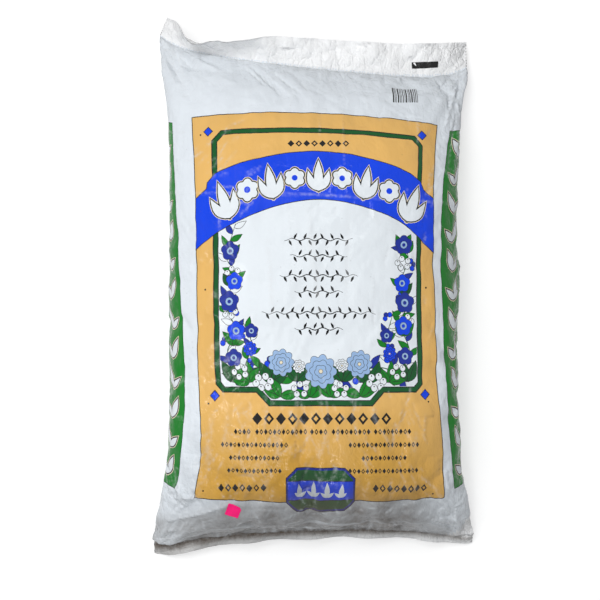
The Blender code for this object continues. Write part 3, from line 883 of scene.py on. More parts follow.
class Shapes:
    """Flat outlines for the print, counter-clockwise, in millimetres."""

    @staticmethod
    def bar(x: float, y: float, width: float, height: float) -> Array:
        """A rectangle about its middle."""
        w, h = width / 2, height / 2
        return np.array([(x - w, y - h), (x + w, y - h), (x + w, y + h), (x - w, y + h)])

    @staticmethod
    def lozenge(x: float, y: float, width: float, height: float) -> Array:
        """A diamond about its middle."""
        return np.array([(x, y - height / 2), (x + width / 2, y), (x, y + height / 2), (x - width / 2, y)])

    @staticmethod
    def disc(x: float, y: float, radius: float, points: int = 12) -> Array:
        """A circle about its middle."""
        turn = np.linspace(0.0, 2 * math.pi, points, endpoint=False)
        return np.stack([x + radius * np.cos(turn), y + radius * np.sin(turn)], axis=1)

    @staticmethod
    def leaf(x: float, y: float, length: float, width: float, degrees: float, bend: float = 0.0) -> Array:
        """A pointed leaf from its stalk at x, y, growing at an angle, bent by a share of its length."""
        share = np.linspace(0.0, 1.0, 9)
        half = width / 2 * np.sin(math.pi * share**0.8)
        middle = bend * length * np.sin(math.pi * share)
        right = np.stack([share * length, middle - half], axis=1)
        left = np.stack([share * length, middle + half], axis=1)[::-1]
        flat = np.concatenate([right, left[1:-1]])
        turn = math.radians(degrees)
        spin = np.array([[math.cos(turn), math.sin(turn)], [-math.sin(turn), math.cos(turn)]])
        return flat @ spin + (x, y)

    @staticmethod
    def petal_ring(x: float, y: float, radius: float, petals: int, start: float = 0.0) -> Array:
        """A blossom's outline with rounded petals."""
        turn = np.linspace(0.0, 2 * math.pi, petals * 7, endpoint=False)
        reach = radius * (0.74 + 0.26 * np.abs(np.cos(petals * turn / 2)) ** 0.8)
        turn = turn + math.radians(start)
        return np.stack([x + reach * np.cos(turn), y + reach * np.sin(turn)], axis=1)

    @staticmethod
    def stroke(line: Array, width: float, taper: bool = False) -> Array:
        """A band of the given width along a polyline, running out to points where it tapers."""
        along = np.gradient(line, axis=0)
        aside = unit(np.stack([-along[:, 1], along[:, 0]], axis=1), 1e-9)
        share = np.linspace(0.0, 1.0, len(line))[:, None]
        half = width / 2 * (np.sin(math.pi * np.clip(share, 0.06, 0.94)) ** 0.5 if taper else 1.0)
        return np.concatenate([line - aside * half, (line + aside * half)[::-1]])

    @staticmethod
    def curve(points: list[tuple[float, float]], steps: int = 6) -> Array:
        """A smooth line through the given points."""
        knots = np.array(points, float)
        padded = np.concatenate([[2 * knots[0] - knots[1]], knots, [2 * knots[-1] - knots[-2]]])
        share = np.arange(steps)[:, None] / steps
        found = []
        for a, b, c, d in zip(padded[:-3], padded[1:-2], padded[2:-1], padded[3:]):
            bent, eased = 2 * a - 5 * b + 4 * c - d, 3 * b - a - 3 * c + d
            found.append(0.5 * (2 * b + (c - a) * share + bent * share**2 + eased * share**3))
        return np.concatenate([*found, knots[-1:]])

    @staticmethod
    def grown(outline: Array, margin: float) -> Array:
        """The outline moved outward by a margin, or inward by a negative one."""
        before = unit(outline - np.roll(outline, 1, axis=0), 1e-9)
        after = unit(np.roll(outline, -1, axis=0) - outline, 1e-9)
        out = np.stack([before[:, 1] + after[:, 1], -before[:, 0] - after[:, 0]], axis=1)
        size = np.maximum(np.linalg.norm(out, axis=1, keepdims=True), 1e-9)
        return outline + margin * out / size * np.minimum(2.0 / size, 1.8)


@dataclass(frozen=True)
class Patch:
    """One flat field of ink: its colour and its outline in film millimetres."""

    ink: Ink
    outline: Array


@dataclass
class PrintSheet:
    """The print, laid out flat: a sand panel with a framed white field, a ribbon and generic ornament.

    Coordinates are millimetres: a across from the print's own middle, or u on the film, and t along it.
    """

    patches: list[Patch] = field(default_factory=list)
    framing: bool = False
    # Where the panel's left edge, the frame's left line, the middle, the frame's right line and the
    # panel's right edge lie on the film at each height: the print drifted as the film was filled.
    heights: tuple[float, ...] = (98, 145, 182, 223, 262, 350, 415, 480, 550, 597)
    edges: Table = (
        (-157.5, -149.5, -146.7, -149.4, -152.1, -154.0, -155.8, -157.5, -162.0, -166.0),
        (-125.0, -122.0, -121.0, -122.5, -124.5, -127.2, -128.0, -128.5, -132.0, -134.0),
        (8.3, 8.2, 8.0, 8.0, 7.5, 6.0, 5.8, 6.0, 6.3, 4.5),
        (143.0, 142.0, 141.0, 139.0, 137.5, 137.0, 137.9, 139.5, 143.6, 146.0),
        (173.0, 172.7, 170.5, 165.0, 162.3, 160.0, 158.3, 160.0, 164.5, 169.0),
    )
    stops: tuple[float, ...] = (-160, -134, 0, 134, 160)

    def registered(self, outline: Array) -> Array:
        """An outline in the print's own coordinates, moved to where that print lies on the film.

        Args:
            outline: Points a, t.

        Returns:
            Points u, t.
        """
        a, t = outline[:, 0], outline[:, 1]
        lines = np.stack([np.interp(t, self.heights, edge) for edge in self.edges], axis=1)
        u = np.array([np.interp(x, self.stops, line) for x, line in zip(a, lines)])
        u = u + np.clip(a - 160, 0, None) + np.clip(a + 160, None, 0)
        high = np.clip((t - 470) / 127, 0.0, 1.0)
        low = np.clip((145 - t) / 46, 0.0, 1.0)
        sag = high * (0.00035 * (u + 10) ** 2 + 0.02 * u)
        return np.stack([u, t - sag + low * 0.00018 * u**2], axis=1)

    def lay(self, ink: Ink, outline: Array) -> None:
        """Adds a field of ink whose outline is in film coordinates."""
        self.patches.append(Patch(ink, outline))

    def add(self, ink: Ink, outline: Array) -> None:
        """Adds a field of ink whose outline is in the print's own coordinates."""
        if self.framing:
            outline = self.framed(outline)
        self.lay(ink, self.registered(self.divided(outline, 12.0)))

    @staticmethod
    def framed(outline: Array) -> Array:
        """The outline with whatever stands out past the frame's green line pushed back to it."""
        a = np.clip(outline[:, 0], -130.4, 130.4)
        foot = np.interp(np.abs(a), (66.5, 82.5, 126.0, 130.4), (227.6, 244.1, 244.1, 249.0))
        return np.stack([a, np.maximum(outline[:, 1], foot)], axis=1)

    @staticmethod
    def divided(outline: Array, longest: float) -> Array:
        """The outline with more points, so that none of its edges is over the longest."""
        ahead = np.roll(outline, -1, axis=0)
        found = []
        for a, b in zip(outline, ahead):
            steps = max(1, math.ceil(float(np.hypot(*(b - a))) / longest))
            found.extend(a + (b - a) * k / steps for k in range(steps))
        return np.array(found)

    def lined(self, ink: Ink, outline: Array, margin: float = 0.9) -> None:
        """Adds a field of ink with a dark line round it."""
        self.add(Ink.KEY_LINE, Shapes.grown(outline, margin))
        self.add(ink, outline)

    def lay_out(self) -> list[Patch]:
        """Lays out every part of the print, from the lowest layer to the highest."""
        self.side_strips()
        self.panel()
        self.frame()
        self.garland()
        self.ribbon()
        self.field_scrolls()
        self.panel_rows()
        self.plaque()
        self.bar_pattern()
        self.pin_dots()
        return self.patches

    def panel(self) -> None:
        """The sand-coloured panel with its thin dark edge."""
        edge = np.array([(-160, 98.8), (160, 98.8), (160, 597), (-160, 597)], float)
        self.add(Ink.KEY_LINE, Shapes.grown(edge, 1.2))
        self.add(Ink.SAND, edge)

    def frame(self) -> None:
        """The green line with cut corners round the white field, and the diamonds at its corners."""
        line = np.array([
            (-134, 248), (-127, 240.5), (-82, 240.5), (-66, 224), (66, 224), (82, 240.5), (127, 240.5),
            (134, 248), (134, 558), (124, 569.6), (-124, 569.6), (-134, 558),
        ])
        self.add(Ink.KEY_LINE, Shapes.grown(line, 4.3))
        self.add(Ink.HEDGE, Shapes.grown(line, 2.9))
        self.add(Ink.KEY_LINE, Shapes.grown(line, -2.1))
        inner = Shapes.grown(line, -3.3)
        self.add(Ink.PAPER_WHITE, inner)
        top = [(-131, 490), (131, 490), *[tuple(point) for point in inner if point[1] > 500]]
        self.add(Ink.SAND, np.array(top))
        for u, t in ((-142.3, 570.6), (146.9, 566.4), (-128.6, 232.2), (146.0, 233.9)):
            self.lay(Ink.KEY_LINE, Shapes.lozenge(u, t, 14.0, 14.6))
            self.lay(Ink.RIBBON_BLUE, Shapes.lozenge(u, t, 11.2, 11.8))

    def ribbon(self) -> None:
        """The blue ribbon that arches over the panel, with its row of white leaves and rosettes."""
        arch = Shapes.curve([(-130.3, 511.7), (-100, 523.5), (-70, 531.5), (-32, 538), (6.2, 539.8),
                             (42, 537), (74.8, 530.4), (104, 521.5), (128.6, 511.5)])
        upper = np.concatenate([[(-157.5, 480), (-142.6, 492.3), (-141.3, 500.2)], arch,
                                [(142.4, 501.3), (146.4, 490.8), (160.5, 479.5)]])
        lower = Shapes.curve([
            (-156.8, 415), (-142, 426), (-127.8, 435.2), (-94.2, 452), (-46, 469), (8.5, 476.4),
            (62, 468), (110.7, 450.6), (135.2, 432.3), (147, 421), (159.5, 410.8),
        ])
        outline = np.concatenate([lower, upper[::-1]])
        self.lay(Ink.KEY_LINE, Shapes.grown(outline, 1.0))
        self.lay(Ink.RIBBON_BLUE, outline)
        for place in range(9):
            u = -118 + place * 31.0
            low = float(np.interp(u, lower[:, 0], lower[:, 1]))
            high = float(np.interp(u, upper[:, 0], upper[:, 1]))
            lean = math.degrees(math.atan(-0.003 * (u - 6)))
            middle, size = (low + high) / 2 - 2.0, 0.6 * (high - low)
            if place % 2:
                self.emblazoned([Shapes.petal_ring(u, middle, size * 0.34, 6, 30)])
                self.lay(Ink.RIBBON_BLUE, Shapes.disc(u, middle, size * 0.1))
            else:
                self.emblazoned(self.sprig(u, middle, size, lean))

    @staticmethod
    def sprig(u: float, t: float, size: float, lean: float) -> list[Array]:
        """Three broad leaves on a short stalk."""
        foot = t - size * 0.5
        turn = math.radians(lean)
        base = (u + math.sin(turn) * size * 0.5, foot)
        up = 90 + lean
        return [
            Shapes.leaf(*base, size * 1.08, size * 0.3, up),
            Shapes.leaf(*base, size * 0.8, size * 0.26, up + 27, 0.1),
            Shapes.leaf(*base, size * 0.8, size * 0.26, up - 27, -0.1),
        ]

    def emblazoned(self, parts: list[Array]) -> None:
        """Draws white parts with a dark line and a thin cream line round them all."""
        for ink, margin in ((Ink.CREAM, 2.3), (Ink.KEY_LINE, 1.5), (Ink.PAPER_WHITE, 0.0)):
            for part in parts:
                self.lay(ink, Shapes.grown(part, margin))

    def vine(self, points: list[tuple[float, float]], pitch: float, size: float, turn: int) -> None:
        """A stem with leaves to both sides and small berries.

        Args:
            points: The stem's course.
            pitch: The distance from leaf to leaf.
            size: The length of a leaf.
            turn: Which of the leaf kinds comes first.
        """
        line = Shapes.curve(points, 7)
        self.add(Ink.HEDGE, Shapes.stroke(line, 1.5, True))
        steps = np.concatenate([[0.0], np.cumsum(np.hypot(*np.diff(line, axis=0).T))])
        for place, at in enumerate(np.arange(pitch * 0.6, steps[-1] - 2, pitch)):
            x, y = np.interp(at, steps, line[:, 0]), np.interp(at, steps, line[:, 1])
            ahead = np.interp(at + 1, steps, line[:, 0]) - x, np.interp(at + 1, steps, line[:, 1]) - y
            heading = math.degrees(math.atan2(ahead[1], ahead[0]))
            hand = 1 if place % 2 else -1
            kind = (place + turn) % 5
            if kind == 3:
                for k, spread in enumerate((-24, 6, 34)):
                    way = math.radians(heading + hand * (50 + spread))
                    reach = size * (0.55 + 0.12 * (k % 2))
                    berry = Shapes.disc(x + reach * math.cos(way), y + reach * math.sin(way), size * 0.19, 9)
                    self.lined(Ink.NAVY if k % 2 else Ink.RIBBON_BLUE, berry, 0.6)
                continue
            ink = (Ink.MEADOW, Ink.NAVY, Ink.PAPER_WHITE, Ink.MEADOW, Ink.MEADOW)[kind]
            self.lined(ink, Shapes.leaf(x, y, size, size * 0.42, heading + hand * 48, 0.05 * hand), 0.6)

    def blossom(self, a: float, t: float, radius: float, ink: Ink) -> None:
        """A round blossom of three rings of petals about a cream heart."""
        for scale, petals, start in ((1.0, 9, 0.0), (0.68, 7, 20.0), (0.38, 5, 50.0)):
            self.lined(ink, Shapes.petal_ring(a, t, radius * scale, petals, start), 0.55)
        self.lined(Ink.CREAM, Shapes.disc(a, t, radius * 0.12, 8), 0.5)

    def spray(self, a: float, t: float, size: float, headings: list[float], ink: Ink) -> None:
        """A spray of broad leaves from one place, each with its vein."""
        for place, turn in enumerate(headings):
            long = size * (1.0 - 0.12 * (place % 2))
            self.lined(ink, Shapes.leaf(a, t, long, long * 0.44, turn, 0.05 if place % 2 else -0.05), 0.7)
            way = np.array([math.cos(math.radians(turn)), math.sin(math.radians(turn))])
            vein = np.array([(a, t), (a, t) + long * 0.42 * way, (a, t) + long * 0.84 * way])
            self.add(Ink.KEY_LINE, Shapes.stroke(vein, 0.8, True))

    def berries(self, a: float, t: float, radius: float, count: int, start: float) -> None:
        """A bunch of round white berries with dark tips."""
        for place in range(count):
            turn = math.radians(start + 360.0 * place / count)
            x, y = a + radius * math.cos(turn), t + radius * 0.8 * math.sin(turn)
            self.lined(Ink.PAPER_WHITE, Shapes.disc(x, y, radius * 0.44, 12), 0.6)
            self.add(Ink.KEY_LINE, Shapes.disc(x, y + radius * 0.2, radius * 0.1, 7))

    def bloom(self, a: float, t: float, radius: float, ink: Ink) -> None:
        """A flat bloom of five broad round petals about a paler ring."""
        self.lined(ink, Shapes.petal_ring(a, t, radius, 5, 18.0), 0.5)
        self.lined(Ink.PALE_BLUE, Shapes.disc(a, t, radius * 0.38, 12), 0.4)
        self.lined(ink, Shapes.disc(a, t, radius * 0.17, 8), 0.3)

    def garland(self) -> None:
        """The vines that climb both sides of the white field, and the swag along its foot."""
        self.framing = True
        for hand in (-1, 1):
            lift = 6 * hand
            climb = [(hand * 113, 262), (hand * 120, 288), (hand * 108, 316 + lift), (hand * 120, 346),
                     (hand * 109, 376 - lift), (hand * 119, 404), (hand * 108, 434 - 2 * lift)]
            self.vine(climb, 8.5, 17, 1 + hand)
            self.vine([(hand * 99, 266), (hand * 88, 296), (hand * 98, 328 + lift)], 8, 15, 2 - hand)
            swag = [(hand * 2, 248), (hand * 26, 254), (hand * 54, 264), (hand * 86, 266), (hand * 112, 252)]
            self.vine(swag, 9, 20, 3 + hand)
            for a, t, size, ink, *leans in (
                (118, 250, 27, Ink.HEDGE, 50, 14, -22), (92, 249, 26, Ink.MEADOW, -6, 38, -46, -84),
                (66, 248, 29, Ink.HEDGE, 60, 22, -26), (52, 232, 26, Ink.MEADOW, 76, -70, -30),
                (14, 231, 25, Ink.MEADOW, 52, -64, 12), (30, 250, 27, Ink.HEDGE, 44, -2, -40),
                (112, 300 + lift, 22, Ink.MEADOW, -40, 34), (116, 362 - lift, 20, Ink.HEDGE, 36, -30),
                (111, 410 + lift, 20, Ink.MEADOW, -36, 30),
            ):
                self.spray(hand * a, t, size, [90 + hand * lean for lean in leans], ink)
            for a, t, radius, count, start in (
                (74, 249, 9.5, 6, 10), (104, 262, 8.0, 5, 40), (26, 240, 8.0, 5, 20),
                (116, 330 - lift, 7.5, 5, 0), (112, 390 + lift, 7.5, 5, 30),
            ):
                self.berries(hand * a, t, radius, count, start)
        for a, t, radius, ink in (
            (1, 262, 21, Ink.PALE_BLUE), (-50, 273, 17, Ink.PALE_BLUE), (52, 271, 17, Ink.PALE_BLUE),
            (-90, 290, 9, Ink.RIBBON_BLUE), (93, 284, 9, Ink.RIBBON_BLUE), (-27, 268, 8, Ink.PAPER_WHITE),
            (29, 269, 8, Ink.PAPER_WHITE),
        ):
            self.blossom(a, t, radius, ink)
        for a, t, radius, ink in (
            (-112, 279, 11, Ink.NAVY), (114, 281, 11, Ink.NAVY), (-108, 312, 12, Ink.RIBBON_BLUE),
            (112, 318, 12, Ink.RIBBON_BLUE), (-117, 349, 13, Ink.NAVY), (115, 347, 13, Ink.NAVY),
            (-110, 374, 11, Ink.RIBBON_BLUE), (111, 371, 11, Ink.RIBBON_BLUE), (-115, 412, 12, Ink.NAVY),
            (113, 419, 12, Ink.NAVY), (-88, 312, 9, Ink.NAVY), (89, 306, 9, Ink.NAVY),
        ):
            self.bloom(a, t, radius, ink)
        self.framing = False

    def scroll(self, u: float, t: float, length: float) -> None:
        """A thin running tendril with small leaves."""
        x = np.linspace(-length / 2, length / 2, max(12, int(length / 3)))
        line = np.stack([u + x, t + 1.6 * np.sin(x / 3.1)], axis=1)
        self.lay(Ink.JET, Shapes.stroke(line, 1.3, True))
        count = int(length / 6.6)
        for place in range(count):
            at = u + (place - (count - 1) / 2) * 6.4
            hand = 1 if place % 2 else -1
            turn = hand * (62 if at < u else 118)
            self.lay(Ink.JET, Shapes.leaf(at, t + hand * 0.5, 8.4, 3.0, turn))

    def field_scrolls(self) -> None:
        """Three pairs of tendrils on the white field, and one small row over the ribbon."""
        for t, length in ((425, 88), (404.5, 74), (379.7, 100), (359.9, 62), (334, 146), (314.3, 62)):
            self.scroll(6.0, t, length)
        self.beads(6.3, 551.5, 84, 10.4, 9.4)

    def beads(self, u: float, t: float, length: float, pitch: float, height: float) -> None:
        """A row of dark lozenges, every second one hollow."""
        count = max(1, round(length / pitch))
        for place in range(count):
            at = u + (place - (count - 1) / 2) * pitch
            self.lay(Ink.JET, Shapes.lozenge(at, t, pitch * 0.86, height))
            if place % 2:
                self.lay(Ink.SAND, Shapes.lozenge(at, t, pitch * 0.4, height * 0.46))

    def panel_rows(self) -> None:
        """The rows of lozenges low on the sand panel."""
        self.beads(10.0, 204.7, 178, 15.0, 15.0)
        for u, length in ((-92, 24), (-42, 66), (6, 20), (47, 52), (101, 50)):
            self.beads(u, 188.8, length, 5.6, 7.4)
        for row, (left, right) in enumerate(((86, 92), (68, 62), (70, 96))):
            self.beads(-77.0, 172.8 - 16.0 * row, left, 5.5, 6.8)
            self.beads(90.0, 172.8 - 16.0 * row, right, 5.5, 6.8)
        self.beads(-93.0, 118.0, 66, 9.2, 11.0)
        self.beads(112.0, 117.6, 72, 9.2, 11.0)

    def plaque(self) -> None:
        """A green plaque with cut corners over the panel's foot, with four white sprouts on a blue band."""
        u, t = 8.2, 114.5
        w, h, cut = 44.0, 29.5, 13.0
        edge = np.array([
            (-w + cut, -h), (w - cut, -h), (w, -h + cut), (w, h - cut),
            (w - cut, h), (-w + cut, h), (-w, h - cut), (-w, -h + cut),
        ]) + (u, t)
        for ink, margin in ((Ink.JET, 1.0), (Ink.NAVY, 0.0), (Ink.HEDGE, -2.6)):
            self.lay(ink, Shapes.grown(edge, margin))
        self.lay(Ink.JET, Shapes.bar(u, t, 2 * w - 3.6, 27.0))
        self.lay(Ink.RIBBON_BLUE, Shapes.bar(u, t, 2 * w - 3.6, 25.0))
        for at, lean, size in ((-26, 8, 19), (-9, 0, 21), (9, 0, 21), (26, -8, 19)):
            self.lay(Ink.PAPER_WHITE, Shapes.leaf(u + at, t - 9.5, size, 6.6, 90 + lean))
            for hand in (-1, 1):
                turn = 90 + hand * 52
                self.lay(Ink.PAPER_WHITE, Shapes.leaf(u + at, t - 9.0, size * 0.52, 4.4, turn))

    def side_strips(self) -> None:
        """The green strips that wrap round both sides, with a column of white leaves."""
        left = [(-185.5, 112), (-173.7, 226), (-181.8, 352), (-192.9, 480), (-200.6, 584.7)]
        right = [(191.3, 112), (181.2, 226), (173.7, 352), (175.3, 480), (190.7, 574.7)]
        for hand, points in ((-1, left), (1, right)):
            inner = Shapes.curve(points, 12)
            outer = np.stack([np.full(len(inner), hand * 252.0), inner[:, 1]], axis=1)
            edge = np.concatenate([inner, outer[::-1]])
            area = np.sum(edge[:, 0] * np.roll(edge[:, 1], -1) - edge[:, 1] * np.roll(edge[:, 0], -1))
            edge = edge if area > 0 else edge[::-1]
            self.lay(Ink.HEDGE, Shapes.grown(edge, 1.1))
            self.lay(Ink.MEADOW, edge)
            for place in range(12):
                t = 138 + place * 37.5
                u = float(np.interp(t, inner[:, 1], inner[:, 0])) + hand * 25
                self.emblazoned([
                    Shapes.leaf(u - hand * 3, t - 13, 28, 10, 90 + 24 * (1 if place % 2 else -1)),
                    Shapes.leaf(u - hand * 3, t - 13, 20, 8, 90 - 46 * (1 if place % 2 else -1)),
                ])

    def bar_pattern(self) -> None:
        """A patch of plain upright bars near the head, and the dark mark on the head fin."""
        drawn = np.random.default_rng(3)
        u = 109.5
        while u < 144.0:
            width = float(drawn.choice([0.8, 1.2, 1.9]))
            self.lay(Ink.JET, Shapes.bar(u + width / 2, 633.5, width, 29.0))
            u += width + float(drawn.choice([0.9, 1.3, 1.7]))
        mark = np.array([(141.5, 689.4), (179.1, 686.2), (179.5, 694.9), (141.0, 699.0)])
        self.lay(Ink.JET, mark)

    def pin_dots(self) -> None:
        """The small dark pin holes down both sides of the panel."""
        for u, t in ((-153, 566.3), (-137.4, 222.2), (150.3, 224.6), (-142.7, 363.7), (147.4, 365.9),
                     (-145.2, 112.9), (156.9, 109.8)):
            self.lay(Ink.JET, Shapes.disc(u, t, 1.3, 7))


@dataclass(frozen=True)
class InkFinish:
    """The finish of one colour on the film: its colour in sRGB shares, gloss and surface unrest."""

    name: str
    colour: Point
    roughness: float = 0.17
    spread: float = 0.2
    haze_and_highlight: float = 0.03
    crinkle: float = 0.5


FINISHES: dict[Ink, InkFinish] = {
    Ink.BARE_FILM: InkFinish("bare_film", (0.905, 0.93, 0.955), 0.2, 0.12, 0.05, 0.7),
    # Near white: clearer film, and painted light standing in for light through the thin fins and against the
    # right foot ear's shade
    Ink.LOOSE_FILM: InkFinish("loose_film_painted_light", (0.985, 0.987, 0.99), 0.24, 0.08, 0.04, 1.3),
    Ink.KEY_LINE: InkFinish("key_line_ink", (0.1, 0.1, 0.11)),
    Ink.SAND: InkFinish("sand_ink", (0.91, 0.72, 0.41)),
    Ink.HEDGE: InkFinish("hedge_green_ink", (0.005, 0.335, 0.13)),
    Ink.MEADOW: InkFinish("meadow_green_ink", (0.005, 0.49, 0.105)),
    Ink.RIBBON_BLUE: InkFinish("ribbon_blue_ink", (0.003, 0.262, 0.905)),
    Ink.NAVY: InkFinish("navy_ink", (0.09, 0.18, 0.6)),
    Ink.PALE_BLUE: InkFinish("pale_blue_ink", (0.6, 0.72, 0.87)),
    Ink.PAPER_WHITE: InkFinish("white_ink", (0.91, 0.935, 0.955), 0.2, 0.08, 0.04),
    Ink.JET: InkFinish("jet_ink", (0.07, 0.07, 0.075)),
    Ink.CREAM: InkFinish("cream_ink", (0.93, 0.88, 0.76)),
}


def linear(colour: Point) -> tuple[float, float, float, float]:
    """A colour in sRGB shares as the linear one that a shader takes."""
    shares = [c / 12.92 if c <= 0.04045 else ((c + 0.055) / 1.055) ** 2.4 for c in colour]
    return (*shares, 1.0)


class Wiring:
    """Adds nodes to one node tree and joins them."""

    def __init__(self, tree: bpy.types.NodeTree) -> None:
        """Starts on the tree of a material, of a group or of the world."""
        self.tree = tree

    def feed(self, node: bpy.types.Node, inputs: Inputs) -> bpy.types.Node:
        """Sets a node's inputs, or joins them to what feeds them.

        Args:
            node: The node.
            inputs: For each input's name or place, a value or the socket that feeds it.

        Returns:
            The same node.
        """
        for place, value in inputs.items():
            if isinstance(value, bpy.types.NodeSocket):
                self.tree.links.new(value, node.inputs[place])
            else:
                node.inputs[place].default_value = value
        return node

    def add(self, kind: str, inputs: Inputs | None = None, **settings: object) -> bpy.types.Node:
        """Adds a node.

        Args:
            kind: The node's type name.
            inputs: What its inputs are fed with.
            settings: The node's own properties.

        Returns:
            The node.
        """
        node = self.tree.nodes.new(kind)
        for name, value in settings.items():
            setattr(node, name, value)
        return self.feed(node, inputs or {})

    def maths(self, kind: str, a: object, b: object = 0.0, c: float = 0.0, clamp: bool = False) -> Socket:
        """The result of a Math node."""
        return self.add("ShaderNodeMath", {0: a, 1: b, 2: c}, operation=kind, use_clamp=clamp).outputs[0]

    def attribute(self, name: str) -> Socket:
        """A value that the mesh carries at each of its points."""
        return self.add("ShaderNodeAttribute", attribute_name=name).outputs["Fac"]

    def place(self) -> Socket:
        """Where on the object a point lies."""
        return self.add("ShaderNodeTexCoord").outputs["Object"]

    def stretched(self, place: Socket, *scale: float) -> Socket:
        """A place scaled along X, Y and Z."""
        return self.add("ShaderNodeMapping", {"Vector": place, "Scale": scale}).outputs[0]

    def noise(self, place: Socket, scale: float, detail: float = 2.0) -> Socket:
        """Soft noise from 0 to 1."""
        inputs = {"Vector": place, "Scale": scale, "Detail": detail}
        return self.add("ShaderNodeTexNoise", inputs).outputs["Fac"]

    def ranged(self, value: Socket, low: float, high: float, to_low: float, to_high: float) -> Socket:
        """A value moved from the range low to high into another, and held there."""
        return self.add("ShaderNodeMapRange", {0: value, 1: low, 2: high, 3: to_low, 4: to_high}).outputs[0]

    def mixed(self, share: Socket, colour: Socket, over: Point) -> Socket:
        """A colour with a share of another one, in sRGB shares, laid over it."""
        inputs = {"Factor": share, 6: colour, 7: linear(over)}
        return self.add("ShaderNodeMix", inputs, data_type="RGBA").outputs[2]

    def group(self, tree: bpy.types.NodeTree, inputs: Inputs) -> Socket:
        """What a shared group puts out when it is placed with these inputs."""
        return self.add("ShaderNodeGroup", inputs, node_tree=tree).outputs[0]

    def bump(self, height: Socket, strength: float, distance: float) -> Socket:
        """The normal that a height gives the surface."""
        inputs = {"Height": height, "Strength": strength, "Distance": distance}
        return self.add("ShaderNodeBump", inputs).outputs["Normal"]


def new_material(name: str) -> tuple[bpy.types.Material, bpy.types.Node, Wiring]:
    """A new material, its shader and the wiring of its nodes."""
    made = bpy.data.materials.new(name)
    made.use_nodes = True
    return made, made.node_tree.nodes["Principled BSDF"], Wiring(made.node_tree)


